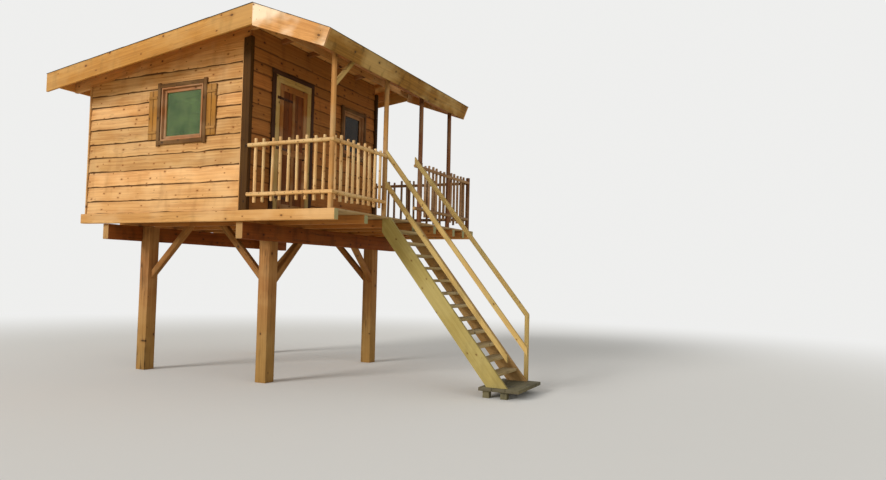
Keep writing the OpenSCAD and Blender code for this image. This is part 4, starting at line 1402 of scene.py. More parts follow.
@dataclass
class Wall:
    """A wall of lap boards with wavy lower edges, on thick planks that line the room.

    Attributes:
        name: The piece's name.
        nodes: The solids that it stands for.
        slot: Its material slot.
        start: The low outer corner where the boards begin.
        along: The direction that the boards run in.
        out: The direction that the wall looks in.
        length: Length of the boards.
        finish: Finish of the lap boards.
        tops: Planes that the wall's top is sawn along.
        openings: Holes for the door and the window.
        courses: Height that each lap board shows, from the deck up.
        lap: How far each board runs up behind the next one.
        face_t: Thickness that the lap boards take up.
        plank: Height of a lining plank.
    """

    name: str
    nodes: Sequence[str]
    slot: Slot
    start: Vector
    along: Way
    out: Way
    length: float
    finish: TimberFinish
    tops: Sequence[Plane]
    openings: Sequence[Opening] = ()
    courses: Sequence[float] = (0.2, 0.235, 0.24, 0.23, 0.22, 0.235, 0.18, 0.19, 0.19, 0.245, 0.37)
    lap: float = 0.024
    face_t: float = 0.0225
    plank: float = 0.214

    def build(self) -> None:
        """Builds the lap boards and the lining planks."""
        piece = Piece(self.name, self.slot, self.nodes)
        span = self.along.vector * self.length
        low = self.start.copy()
        for height in self.courses:
            high = low + span + Way.UP.vector * (height + self.lap) - self.out.vector * self.face_t
            piece.board(low, high, self.along, self.out, self.finish, WANEY, self.tops, self.openings)
            low.z += height
        inner = self.start - self.out.vector * self.face_t
        for i in range(math.ceil(sum(self.courses) / self.plank)):
            low = inner + Way.UP.vector * i * self.plank
            rise = Way.UP.vector * (self.plank - 0.002)
            high = low + span + rise - self.out.vector * (WALL_T - self.face_t)
            piece.board(low, high, self.along, self.out, LINING, SAWN, self.tops, self.openings)
        piece.finish()


@dataclass
class Doorway:
    """The door frame with its stops and dark trim boards, and the boarded leaf."""

    frame_y: tuple[float, float] = (0.58, 1.452)
    jamb: float = 0.095
    top: float = 4.675
    head: float = 0.107
    face: float = 0.095
    leaf_t: float = 0.045
    leaf_y: tuple[float, float] = (0.685, 1.351)
    leaf_z: tuple[float, float] = (2.56, 4.562)
    trim: float = 0.075
    trim_top: float = 4.745
    trim_back: float = 0.071
    trim_face: float = 0.099

    def opening(self) -> Opening:
        """Returns the hole through the front wall."""
        return Opening((1, 2), (self.frame_y[0], DECK_TOP - 0.1), (self.frame_y[1], self.top))

    def build(self) -> None:
        """Builds the frame, the trim and the leaf."""
        self.frame()
        self.trims()
        self.leaf()

    def frame(self) -> None:
        """Builds the jambs, the head and the stops."""
        piece = Piece("door_frame_timbers", Slot.SHADED_TIMBER, ["door_frame"])
        back = FRONT_X - WALL_T
        y0, y1 = self.frame_y
        under = self.top - self.head
        for a, b in ((y0, y0 + self.jamb), (y1 - self.jamb, y1)):
            piece.board((back, a, DECK_TOP), (self.face, b, under), Way.UP, Way.FRONT, DOOR_FRAME)
        piece.board((back, y0, under), (self.face, y1, self.top), Way.FAR, Way.FRONT, DOOR_FRAME)
        stop = self.face - self.leaf_t - 0.006
        inner = (y0 + self.jamb, y1 - self.jamb)
        wide = 0.024
        for a, b in ((inner[0], inner[0] + wide), (inner[1] - wide, inner[1])):
            piece.board((back, a, DECK_TOP), (stop, b, under - wide), Way.UP, Way.FRONT, DOOR_FRAME)
        piece.board((back, inner[0], under - wide), (stop, inner[1], under), Way.FAR, Way.FRONT, DOOR_FRAME)
        piece.finish()

    def trims(self) -> None:
        """Builds the dark boards beside and over the frame."""
        piece = Piece("door_trim_boards", Slot.DARK_TIMBER, ["door_trim"])
        y0, y1 = self.frame_y
        for a, b in ((y0 - self.trim, y0), (y1, y1 + self.trim)):
            piece.board((self.trim_back, a, DECK_TOP), (self.trim_face, b, self.top), Way.UP, Way.FRONT, TRIM)
        low = (self.trim_back, y0 - self.trim, self.top)
        piece.board(low, (self.trim_face, y1 + self.trim, self.trim_top), Way.FAR, Way.FRONT, TRIM)
        piece.finish()

    def leaf(self) -> None:
        """Builds the leaf: upright boards with two stiles, a middle strip and three rails on their face."""
        piece = Piece("door_leaf_boards", Slot.SHADED_TIMBER, ["door_leaf"], "door")
        back, face = self.face - self.leaf_t, self.face
        y0, y1 = self.leaf_y
        z0, z1 = self.leaf_z
        count = 6
        width = (y1 - y0) / count
        groove = Working(ease=0.005, bow=0.0)
        flat = Working(ease=0.003, bow=0.0)
        joint = 0.0005
        for i in range(count):
            low = (back, y0 + i * width + joint, z0)
            high = (face - 0.014, y0 + (i + 1) * width - joint, z1)
            piece.board(low, high, Way.UP, Way.FRONT, DOOR_BOARD, groove)
        stile = 0.085
        seat = face - 0.0145
        for a, b in ((y0, y0 + stile), (y1 - stile, y1)):
            piece.board((seat, a, z0), (face, b, z1), Way.UP, Way.FRONT, DOOR_RAIL, flat)
        rails = ((z0, z0 + 0.16), (z0 + 0.92, z0 + 1.02), (z1 - 0.1, z1))
        for low_z, high_z in rails:
            low = (seat, y0 + stile, low_z)
            piece.board(low, (face, y1 - stile, high_z), Way.FAR, Way.FRONT, DOOR_RAIL, flat)
        middle, strip_half = (y0 + y1) / 2, 0.03
        for under, over in zip(rails, rails[1:]):
            low = (seat, middle - strip_half, under[1])
            high = (face - 0.002, middle + strip_half, over[0])
            piece.board(low, high, Way.UP, Way.FRONT, DOOR_RAIL, flat)
        piece.finish()


@dataclass
class Cabin:
    """The hollow cabin: four walls, its corner boards, the windows and the doorway."""

    side_window: WindowUnit
    porch_window: WindowUnit
    doorway: Doorway

    def build(self) -> None:
        """Builds the walls and what is set in them."""
        under_rafters = [ROOF.plane(False, RAFTERS)]
        under_boards = [ROOF.plane(False, BOARDS)]
        front_openings = [self.doorway.opening(), self.porch_window.opening()]
        inner_y = (CABIN_Y[0] + WALL_T, CABIN_Y[1] - WALL_T)
        back_x, front_x = -3.236, -0.036
        length = 3.2
        Wall(
            "near_wall_boards", ["near_wall"], Slot.OLD_PINE, Vector((back_x, 0.0, DECK_TOP)),
            Way.FRONT, Way.NEAR, length, SIDING, under_rafters, [self.side_window.opening()],
        ).build()
        Wall(
            "far_wall_boards", ["far_wall"], Slot.OLD_PINE, Vector((front_x, CABIN_Y[1], DECK_TOP)),
            Way.BACK, Way.FAR, length, SIDING, under_rafters,
        ).build()
        Wall(
            "back_wall_boards", ["back_wall"], Slot.OLD_PINE, Vector((BACK_X, inner_y[1], DECK_TOP)),
            Way.NEAR, Way.BACK, inner_y[1] - inner_y[0], SIDING, under_boards,
        ).build()
        Wall(
            "front_wall_boards", ["front_wall_by_corner", "front_wall_over_door", "front_wall_by_window"],
            Slot.SHADED_TIMBER, Vector((FRONT_X, inner_y[0] - 0.04, DECK_TOP)), Way.FAR, Way.FRONT,
            inner_y[1] - inner_y[0] + 0.08, SHADED_SIDING, under_boards, front_openings,
            (0.22, 0.235, 0.22, 0.23, 0.225, 0.235, 0.22, 0.23, 0.23, 0.16, 0.2, 0.29),
        ).build()
        self.corners()
        for part in (self.side_window, Shutters(self.side_window), self.porch_window, self.doorway):
            part.build()

    def corners(self) -> None:
        """Builds the dark boards at the front corners, their light strips, and the thin ones at the back."""
        piece = Piece("corner_boards", Slot.DARK_TIMBER, ["corner_posts"])
        top = [ROOF.plane(False, RAFTERS)]
        head, proud, cover = ROOF.ridge_z, 0.012, 0.058
        fronts = ((-0.04, -0.0275, CORNER_LIGHT), (-0.027, 0.11, CORNER_DARK))
        near, far = CABIN_Y
        for out, front_y, back_y in (
            (Way.NEAR, (near - proud, near + cover), (near - proud, near + WALL_T)),
            (Way.FAR, (far - cover, far + proud), (far - WALL_T, far + proud)),
        ):
            for x0, x1, finish in fronts:
                low, high = (x0, front_y[0], DECK_TOP), (x1, front_y[1], head)
                piece.board(low, high, Way.UP, out, finish, cuts=top)
            low, high = (-3.262, back_y[0], DECK_TOP), (-3.2365, back_y[1], head)
            piece.board(low, high, Way.UP, Way.BACK, CORNER_LIGHT, cuts=top)
        piece.finish()


@dataclass
class Roof:
    """Rafters, ridge board, roof boards, strips of felt and the broad fascia boards.

    Attributes:
        cabin_y: Low sides of the cabin rafters, those that show at the gables first and last.
        porch_y: Low sides of the porch rafters, in the same order.
        rake_end_h: Height of the rake boards at the porch eave.
        eave_h: Heights of the fascia boards along the porch eave and the back one.
        tail: Where the cabin rafters turn shallow, and the depth under the roof's top that they keep there.
        rake_screws: Places of the screws in the rake boards, down the slope and across it.
    """

    rafter_w: float = 0.06
    cabin_y: tuple[float, ...] = (-0.42, 3.86, 0.022, 0.7012, 1.3804, 2.0596, 2.7388, 3.418)
    porch_y: tuple[float, ...] = (-0.42, 3.86, 0.022, 0.7012, 1.3804, 2.0596, 2.7388, 3.612)
    rafter_h: float = 0.18
    porch_rafter_h: float = 0.12
    fascia: float = 0.035
    rake_h: float = 0.288
    rake_end_h: float = 0.245
    eave_h: tuple[float, float] = (0.248, 0.18)
    ridge_h: float = 0.25
    tail: tuple[float, float] = (0.05, 0.1004)
    rake_screws: tuple[tuple[float, float], ...] = (
        (0.05, 0.06), (0.05, -0.06), (0.16, 0.075), (0.16, -0.05), (1.25, 0.07), (1.25, -0.03),
    )
    trunk: Opening = Opening((0, 1), (0.545, 3.192), (0.945, 3.592))

    def build(self) -> None:
        """Builds the roof from the rafters up."""
        self.rafters()
        self.boards()
        self.felt()
        self.rakes("near_rake_fascia", "near_rake_boards", ROOF.side[0], Way.NEAR)
        self.rakes("far_rake_fascia", "far_rake_boards", ROOF.side[1] - self.fascia, Way.FAR)
        self.eaves()

    def _slope(self, front: bool) -> tuple[Vector, Vector]:
        """Returns the direction down a slope and the one square to it."""
        fall = ROOF.front_fall if front else ROOF.back_fall
        way = 1.0 if front else -1.0
        return Vector((way, 0, -fall)).normalized(), Vector((way * fall, 0, 1)).normalized()

    @property
    def side(self) -> tuple[float, float]:
        """Returns where the space between the fascia boards starts and stops along Y."""
        return (ROOF.side[0] + self.fascia, ROOF.side[1] - self.fascia)

    def _reach(self, front: bool, past: float = 0.0) -> float:
        """Returns the length of a slope from the ridge to some distance past its end along X."""
        end = ROOF.front_end + past if front else ROOF.back_end - past
        return abs(end - ROOF.ridge_x) / abs(self._slope(front)[0].x)

    def _ridge_cut(self, front: bool, past: float = 0.0) -> Plane:
        """Returns the upright plane near the ridge that keeps a board to its own slope."""
        way = 1.0 if front else -1.0
        return Vector((ROOF.ridge_x + way * past, 0, 0)), (Way.BACK if front else Way.FRONT).vector

    @staticmethod
    def _laid(
        piece: Piece, middle: Vector, side: tuple[float, float], section: tuple[float, float], face: Vector,
        working: Working,
    ) -> Timber:
        """Saws a board that lies along the house.

        Args:
            piece: The piece that it is sawn for.
            middle: A point on its middle line.
            side: Where it starts and stops along Y.
            section: Its width and its thickness.
            face: The direction that its face looks in.
            working: How it is worked.

        Returns:
            The board in its place.
        """
        timber = Timber.sawn(Vector((side[1] - side[0], *section)), working, piece.draw)
        return timber.set(Vector((middle.x, side[0], middle.z)), Way.FAR.vector, face)

    def _end_corner(self) -> Vector:
        """Returns the lower end of the porch slope, under the felt."""
        return Vector((ROOF.front_end, 0, ROOF.under(ROOF.front_end, COVER)))

    def rafters(self) -> None:
        """Builds the cabin rafters, the porch rafters and the ridge board."""
        groups = (
            ("cabin_rafter_timbers", "cabin_rafters", self.cabin_y, self.rafter_h, False),
            ("porch_rafter_timbers", "porch_rafters", self.porch_y, self.porch_rafter_h, True),
        )
        for name, node, places, height, front in groups:
            piece = Piece(name, Slot.OLD_PINE, [node])
            first = ROOF.ridge_x + (0.02 if front else -0.02)
            last = ROOF.front_end - self.fascia if front else ROOF.back_end + self.fascia
            way = Way.FRONT if front else Way.BACK
            lower = (Vector((last, 0, 0)), way.vector)
            if front:
                down = self._slope(front)[0]
                lower = (self._end_corner() - down * self.fascia, down)
            ends = [(Vector((first, 0, 0)), -way.vector), lower]
            for i, y in enumerate(places):
                # The rafters at the gables take the lighter copy: painted light
                finish = PAINTED_LIGHT_RAFTER if i < 3 or i == len(places) - 1 else RAFTER
                middle = y + self.rafter_w / 2
                depth = BOARDS + height / 2
                fall = ROOF.front_fall if front else ROOF.back_fall
                spare, play = 0.1, 0.0004
                past = spare * way.vector.x
                start = Vector((first - past, middle, ROOF.under(first, depth) + spare * fall))
                stop = Vector((last + past, middle, ROOF.under(last + past, depth)))
                section = (height - play, self.rafter_w)
                if front:
                    piece.strut(start, stop, section, Way.NEAR, finish, SAWN, ends)
                    continue
                seam = Vector((self.tail[0], 0, 0))
                piece.strut(start, stop, section, Way.NEAR, finish, SAWN, [ends[1], (seam, Way.FRONT.vector)])
                shallow = [ends[0], (seam, Way.BACK.vector), ROOF.plane(False, self.tail[1], True)]
                piece.strut(start, stop, section, Way.NEAR, finish, SAWN, shallow)
            piece.finish()
        piece = Piece("ridge_timber", Slot.OLD_PINE, ["ridge_board"])
        low = (ROOF.ridge_x - 0.02, self.side[0], ROOF.ridge_z - self.ridge_h)
        high = (ROOF.ridge_x + 0.02, self.side[1], ROOF.ridge_z - 0.02)
        cuts = [ROOF.plane(False, BOARDS), ROOF.plane(True, BOARDS)]
        piece.board(low, high, Way.FAR, Way.FRONT, RIDGE, SAWN, cuts)
        piece.finish()

    def boards(self) -> None:
        """Builds the roof boards, laid across the rafters and cut round the trunk."""
        piece = Piece("roof_boarding", Slot.OLD_PINE, ["roof_boards"])
        pitch, joint, narrowest = 0.143, 0.003, 0.02
        for front in (True, False):
            down, square = self._slope(front)
            length = self._reach(front, -self.fascia)
            top = Vector((ROOF.ridge_x, 0, ROOF.ridge_z)) - square * ((COVER + BOARDS) / 2)
            for i in range(math.ceil(length / pitch)):
                width = min(pitch - joint, length - i * pitch)
                if width < narrowest:
                    continue
                middle = top + down * (i * pitch + width / 2)
                timber = self._laid(piece, middle, self.side, (width, BOARDS - COVER), square, ROUGH)
                # The boards take the pale finish with painted bounce light
                piece.add(timber, PAINTED_LIGHT_ROOF_BOARD, [self._ridge_cut(front)], [self.trunk])
        piece.finish()

    def felt(self) -> None:
        """Builds the felt: strips along the house, each lapped over the one below it."""
        piece = Piece("felt_strips", Slot.FELT, ["roofing"])
        felt = FeltFinish()
        lip, lap, thick, sunk, tilt = 0.009, 0.08, 0.0045, 0.0052, 0.0042
        side = (ROOF.side[0] - lip, ROOF.side[1] + lip)
        working = Working(ease=0.001, rounds=1, step=0.2, bow=0.0)
        for front in (True, False):
            down, square = self._slope(front)
            strips = 2 if front else 5
            width = self._reach(front, lip) / strips
            lean = (square + down * tilt).normalized()
            for i in range(strips):
                over = 0.0 if i == 0 else lap
                middle = Vector((ROOF.ridge_x, 0, ROOF.ridge_z)) + down * ((i + 0.5) * width - over / 2)
                middle -= square * sunk
                timber = self._laid(piece, middle, side, (width + over, thick), lean, working)
                piece.add(timber, felt, [self._ridge_cut(front)], [self.trunk])
        piece.finish()

    def rakes(self, name: str, node: str, y: float, out: Way) -> None:
        """Builds the two fascia boards of one gable.

        Args:
            name: The piece's name.
            node: The solid that it stands for.
            y: The low side of the boards.
            out: The direction that the gable looks in.
        """
        piece = Piece(name, Slot.OLD_PINE, [node])
        working = Working(ease=0.003, bow=0.002, step=0.25)
        spare = 0.2
        for front in (False, True):
            down, square = self._slope(front)
            ridge = Vector((ROOF.ridge_x, y + self.fascia / 2, ROOF.ridge_z))
            start = ridge - square * (COVER + self.rake_h / 2)
            stop = start + down * (self._reach(front) + spare)
            cuts = [self._ridge_cut(front, 0.0005)]
            if front:
                corner = self._end_corner()
                cuts.append((corner, down))
                inner = corner - square * self.rake_end_h
                low = Vector((ROOF.ridge_x, 0, ROOF.under(ROOF.ridge_x + 1e-6, COVER + self.rake_h)))
                edge = inner - low
                cuts.append((inner, Vector((edge.z, 0, -edge.x)).normalized()))
            else:
                cuts.append((Vector((ROOF.back_end, 0, 0)), Way.BACK.vector))
            finish = PALE_FASCIA if front else FASCIA
            section = (self.rake_h, self.fascia)
            piece.strut(start - down * spare, stop, section, out, finish, working, cuts)
            if front:
                face = start + out.vector * (self.fascia / 2 - 0.0025)
                for along, across in self.rake_screws:
                    piece.screw(face + down * along + square * across, out.vector)
        piece.finish()

    def eaves(self) -> None:
        """Builds the fascia boards along the two eaves, the front one square to its slope."""
        side = self.side
        wavy = Working(ease=0.003, bow=0.004, step=0.2)
        piece = Piece("front_eave_fascia", Slot.OLD_PINE, ["front_eave_board"])
        down, square = self._slope(True)
        middle = self._end_corner() - down * self.fascia / 2 - square * self.eave_h[0] / 2
        timber = self._laid(piece, middle, side, (self.eave_h[0], self.fascia), down, wavy)
        piece.add(timber, OLIVE_FASCIA, [ROOF.plane(True, COVER)])
        piece.finish()
        piece = Piece("back_eave_fascia", Slot.OLD_PINE, ["back_eave_board"])
        end, inner = ROOF.back_end, ROOF.back_end + self.fascia
        low = (end, side[0], ROOF.under(end, COVER) - self.eave_h[1])
        high = (inner, side[1], ROOF.under(inner, COVER))
        piece.board(low, high, Way.FAR, Way.BACK, FASCIA, wavy, [ROOF.plane(False, COVER)])
        piece.finish()


@dataclass
class PorchFront:
    """The poles along the porch edge, the header that they carry and the light brace."""

    pole: float = 0.078
    header: tuple[float, float] = (0.09, 0.13)
    header_foot: float = 4.644
    header_y: tuple[float, float] = (-0.42, 3.92)
    brace: float = 0.052
    reach: float = 0.43

    def build(self) -> None:
        """Builds the header, the poles and the brace."""
        piece = Piece("porch_header_timber", Slot.OLD_PINE, ["porch_header"])
        half = self.header[0] / 2
        low = (POLE_X - half, self.header_y[0], self.header_foot)
        high = (POLE_X + half, self.header_y[1], self.header_foot + self.header[1])
        piece.board(low, high, Way.FAR, Way.FRONT, RAFTER, SQUARE)
        piece.finish()
        poles = Piece("porch_poles", Slot.POLE_WOOD, ["porch_posts"])
        work = replace(POLE, ease=0.002, bow=0.003)
        for y in POLE_Y:
            start, stop = (POLE_X, y, DECK_TOP), (POLE_X, y, self.header_foot)
            # The two far poles take the darker copy: painted shade
            finish = PORCH_POLE if y < POLE_Y[2] else PAINTED_SHADE_POLE
            poles.pole(start, stop, (self.pole, self.pole - 0.006), finish, work)
        poles.finish()
        brace = Piece("porch_brace_timber", Slot.OLD_PINE, ["porch_brace"])
        y0 = POLE_Y[0]
        low_z, spare = self.header_foot - self.reach, 0.05
        start = (POLE_X, y0 - spare, low_z - spare)
        stop = (POLE_X, y0 + self.reach + spare, self.header_foot + spare)
        cuts = [
            (Vector((0, y0 + self.pole * 0.35, 0)), Way.NEAR.vector),
            (Vector((0, 0, self.header_foot)), Way.UP.vector),
        ]
        brace.strut(start, stop, (self.brace, self.brace), Way.FRONT, STAIR_RAIL, SAWN, cuts)
        brace.finish()


@dataclass
class PoleRailing:
    """A railing of two pole rails with balusters fixed to their inner side.

    Attributes:
        name: The piece's name.
        node: The solid that it stands for.
        start: Where the rails start, at the deck's top.
        run: The direction that they run in.
        length: Length of the rails.
        inner: The direction of the cabin.
        first: Distance from the start to the first baluster.
        count: Number of balusters.
        posts: Places of short posts, at the deck's top.
    """

    name: str
    node: str
    start: Vector
    run: Way
    length: float
    inner: Way
    first: float
    count: int
    posts: Sequence[Vector] = ()
    rail: float = 0.058
    baluster: float = 0.048
    pitch: float = 0.147
    let_in: float = 0.008
    top: float = 1.03
    foot: float = 0.105
    finish: TimberFinish = RAIL_POLE

    def build(self) -> None:
        """Builds the rails, the balusters and the short posts."""
        piece = Piece(self.name, Slot.POLE_WOOD, [self.node])
        up = Way.UP.vector
        along = self.run.vector
        for z in (LOW_RAIL_Z, RAIL_Z):
            start = self.start.copy()
            start.z = z
            work = replace(POLE, bow=0.004, ease=0.006)
            piece.pole(start, start + along * self.length, (self.rail, self.rail - 0.004), self.finish, work)
        side = self.inner.vector * ((self.rail + self.baluster) / 2 - self.let_in)
        for i in range(self.count):
            at = self.start + along * (self.first + i * self.pitch + piece.draw.uniform(-0.008, 0.008)) + side
            lean = along * piece.draw.uniform(-0.015, 0.015)
            low = at + up * (self.foot + piece.draw.uniform(0.0, 0.03))
            high = at + up * (self.top - piece.draw.uniform(0.0, 0.034)) + lean
            wide = self.baluster - piece.draw.uniform(0.0, 0.006)
            piece.pole(low, high, (wide, wide - 0.003), self.finish, replace(POLE, bow=0.003))
            self._screws(piece, at + lean * 0.5)
        for at in self.posts:
            # The short posts take the darker pole finish: painted shade
            piece.pole(at, at + up * self.top, (0.078, 0.074), PAINTED_SHADE_POLE, replace(POLE, bow=0.002))
        piece.finish()

    def _screws(self, piece: Piece, at: Vector) -> None:
        """Adds the two screws that hold a baluster, seen on the outer side of the rails."""
        out = -self.inner.vector
        for z in (LOW_RAIL_Z, RAIL_Z):
            face = Vector((at.x, at.y, z)) + out * ((self.rail * 2 + self.baluster) / 2 - self.let_in - 0.003)
            piece.screw(face, out)


@dataclass
class Railings:
    """The five railings of the porch and the walkway."""

    def build(self) -> None:
        """Builds each railing."""
        rail, pitch, pole = PoleRailing.rail, PoleRailing.pitch, PorchFront.pole
        x0, x_end = 0.11, -3.27
        ahead = 0.024
        corner = Vector((POLE_X + ahead, 0, DECK_TOP))
        length = POLE_X - x0
        count, first = self._fit(length - pole / 2)
        PoleRailing(
            "near_rail_poles", "near_railing", Vector((x0, POLE_Y[0] - ahead, DECK_TOP)), Way.FRONT,
            length + 0.055, Way.FAR, first, count,
        ).build()
        start = rail / 2 + 0.0002
        length = POLE_Y[1] - POLE_Y[0] - start + ahead
        count, first = self._fit(length)
        PoleRailing(
            "front_rail_poles_by_corner", "front_railing_by_corner",
            corner + Vector((0, POLE_Y[0] + start - ahead, 0)), Way.FAR, length, Way.BACK, first, count,
        ).build()
        # The railings by the stair, along the walkway and at its end take the darker pole finish: painted
        # shade
        y0 = 2.344
        length = WALKWAY_Y - start - y0
        first = POLE_Y[2] + pitch / 2 + pole / 4 - y0
        PoleRailing(
            "front_rail_poles_by_stair", "front_railing_by_stair", corner + Vector((0, y0, 0)), Way.FAR,
            length, Way.BACK, first, math.floor((length - first - rail) / pitch) + 1, finish=PAINTED_SHADE_RAIL,
        ).build()
        length = POLE_X - x_end
        count, first = self._fit(length)
        posts = [Vector((x, WALKWAY_Y, DECK_TOP)) for x in (POLE_X, 0.235, -1.5175, x_end)]
        PoleRailing(
            "walkway_rail_poles", "walkway_railing", Vector((POLE_X, WALKWAY_Y, DECK_TOP)), Way.BACK, length,
            Way.NEAR, first, count, posts, finish=PAINTED_SHADE_RAIL,
        ).build()
        length = WALKWAY_Y - start - 3.512
        count, first = self._fit(length)
        PoleRailing(
            "walkway_end_rail_poles", "walkway_end_railing", Vector((x_end, WALKWAY_Y - start, DECK_TOP)),
            Way.NEAR, length, Way.FRONT, first, count, finish=PAINTED_SHADE_RAIL,
        ).build()

    @staticmethod
    def _fit(length: float) -> tuple[int, float]:
        """Returns how many balusters fit into a length, and where the first one stands."""
        pitch = PoleRailing.pitch
        count = math.floor((length - PoleRailing.baluster) / pitch)
        return count, (length - (count - 1) * pitch) / 2


@dataclass
class Stair:
    """The steep open stair: two plank stringers, twelve treads, the foot board and three rails."""

    side: tuple[float, float] = (1.419, 2.299)
    stringer_t: float = 0.05
    stringer_w: float = 0.24
    top: Vector = Vector((1.63, 0.0, 2.55))
    toe: Vector = Vector((3.562, 0.0, 0.15))
    risers: int = 13
    tread: float = 0.22
    tread_t: float = 0.04
    rail_h: float = 0.068
    rail_t: float = 0.045
    foot_x: float = 3.562
    foot_z: float = 0.15

    @property
    def down(self) -> Vector:
        """Returns the direction down the stair."""
        return (self.toe - self.top).normalized()

    @property
    def square(self) -> Vector:
        """Returns the direction square to the stair, upwards."""
        return Vector((-self.down.z, 0, self.down.x))

    def build(self) -> None:
        """Builds the stair."""
        self.stringers()
        self.treads()
        self.foot()
        self.rails()

    def stringers(self) -> None:
        """Builds both stringers, sawn level at the foot and upright at the head."""
        for name, node, y, out in (
            ("near_stringer_plank", "near_stringer", self.side[0], Way.NEAR),
            ("far_stringer_plank", "far_stringer", self.side[1] - self.stringer_t, Way.FAR),
        ):
            piece = Piece(name, Slot.NEW_PINE, [node])
            middle = Vector((0, y + self.stringer_t / 2, 0)) - self.square * self.stringer_w / 2
            start = self.top + middle - self.down * 0.25
            stop = self.toe + middle + self.down * 0.3
            head_x = self.top.x - self.stringer_w / 2
            size = Vector(((stop - start).length, self.stringer_w, self.stringer_t))
            plank = Timber.sawn(size, SAWN, piece.draw).set(start, stop - start, out.vector)
            plank.cut(Vector((0, 0, self.toe.z)), Way.DOWN.vector)
            plank.cut(Vector((head_x, 0, 0)), Way.BACK.vector)
            edge = Vector((self.top.x, 0, 0))
            finish = NEW_PINE if out is Way.NEAR else INNER_PINE
            piece.add(plank.copy(), finish, [(edge, Way.BACK.vector)])
            piece.add(plank, finish, [(edge, Way.FRONT.vector), (Vector((0, 0, JOIST_TOP)), Way.UP.vector)])
            piece.finish()

    def treads(self) -> None:
        """Builds the treads between the stringers."""
        piece = Piece("stair_treads", Slot.NEW_PINE, ["treads"])
        rise = (self.top.z - self.toe.z) / self.risers
        run = (self.toe.x - self.top.x) / self.risers
        y0, y1 = self.side[0] + self.stringer_t, self.side[1] - self.stringer_t
        for i in range(1, self.risers):
            x, z = self.toe.x - i * run, self.toe.z + i * rise
            low, high = (x - self.tread, y0, z - self.tread_t), (x, y1, z)
            piece.board(low, high, Way.FAR, Way.UP, TREAD, Working(ease=0.006, bow=0.001))
        piece.finish()

    def foot(self) -> None:
        """Builds the foot board and the four blocks under it."""
        piece = Piece("stair_foot_board", Slot.NEW_PINE, ["stair_foot"])
        x0, wide, gap, block, block_h, past = 3.154, 0.2, 0.002, 0.095, 0.1, 0.05
        y0, y1 = self.side[0] - past, self.side[1] + past
        working = Working(ease=0.007, bow=0.001)
        for i in range(3):
            low, high = (x0 + i * wide + gap, y0, block_h), (x0 + (i + 1) * wide - gap, y1, self.foot_z)
            piece.board(low, high, Way.FAR, Way.UP, FOOT, working)
        for x in (x0 + past, self.toe.x - block):
            for y in (y0 + past, y1 - past - block):
                piece.board((x, y, 0.0), (x + block, y + block, block_h), Way.UP, Way.FRONT, FOOT)
        piece.finish()

    def rails(self) -> None:
        """Builds the two near rails and the far rail with its newel."""
        y = POLE_Y[1] - self.rail_t / 2
        piece = Piece("near_stair_rail_timbers", Slot.NEW_PINE, ["near_stair_rails"])
        self._rail(piece, y, 0.884, (POLE_X, 3.852), Way.NEAR)
        self._rail(piece, y, 0.414, (POLE_X, self.foot_x), Way.NEAR)
        piece.finish()
        piece = Piece("far_stair_rail_timbers", Slot.NEW_PINE, ["far_stair_rail"])
        y, up = self.side[1], 0.935
        self._rail(piece, y, up, (1.569, self.foot_x), Way.FAR)
        low = (3.502, y, self.foot_z)
        high = (self.foot_x, y + self.rail_t, 1.3)
        cut = (Vector((self.foot_x, 0, self.foot_z + up)), self.square)
        piece.board(low, high, Way.UP, Way.FAR, STAIR_RAIL, cuts=[cut])
        piece.finish()

    def _rail(self, piece: Piece, y: float, up: float, span: tuple[float, float], out: Way) -> None:
        """Adds one rail that runs with the stair.

        Args:
            piece: The piece that it joins.
            y: Its low side.
            up: Height of its middle over the stringer's edge.
            span: Where it starts and stops along X.
            out: The direction that its face looks in.
        """
        fall = (self.top.z - self.toe.z) / (self.toe.x - self.top.x)
        ends = [Vector((x, y + self.rail_t / 2, self.top.z - (x - self.top.x) * fall + up)) for x in span]
        start, stop = ends[0] - self.down * 0.15, ends[1] + self.down * 0.15
        cuts = [(ends[0], Way.BACK.vector), (ends[1], Way.FRONT.vector)]
        piece.strut(start, stop, (self.rail_h, self.rail_t), out, STAIR_RAIL, Working(ease=0.006), cuts)


@dataclass
class Carried:
    """The frame's own solids that stay in sight and take a better finish."""

    panes: tuple[str, ...] = ("side_window_pane",)
    shaded_panes: tuple[str, ...] = ("porch_window_pane",)
    irons: tuple[str, ...] = ("hinge_plates", "door_hardware")

    def build(self) -> None:
        """Dresses the panes and the ironwork."""
        # The copy for the porch pane: darker painted reflection and painted shade
        shaded = GlassFinish("shaded_window_glass", "6A5A40", "4A3C28", 1.2)
        for names, finish in (
            (self.panes, GlassFinish()), (self.shaded_panes, shaded), (self.irons, IronFinish()),
        ):
            material = finish.material()
            for name in names:
                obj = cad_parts[name]
                for place in obj.material_slots:
                    place.material = material
                LOG.info("%s: dressed", name)


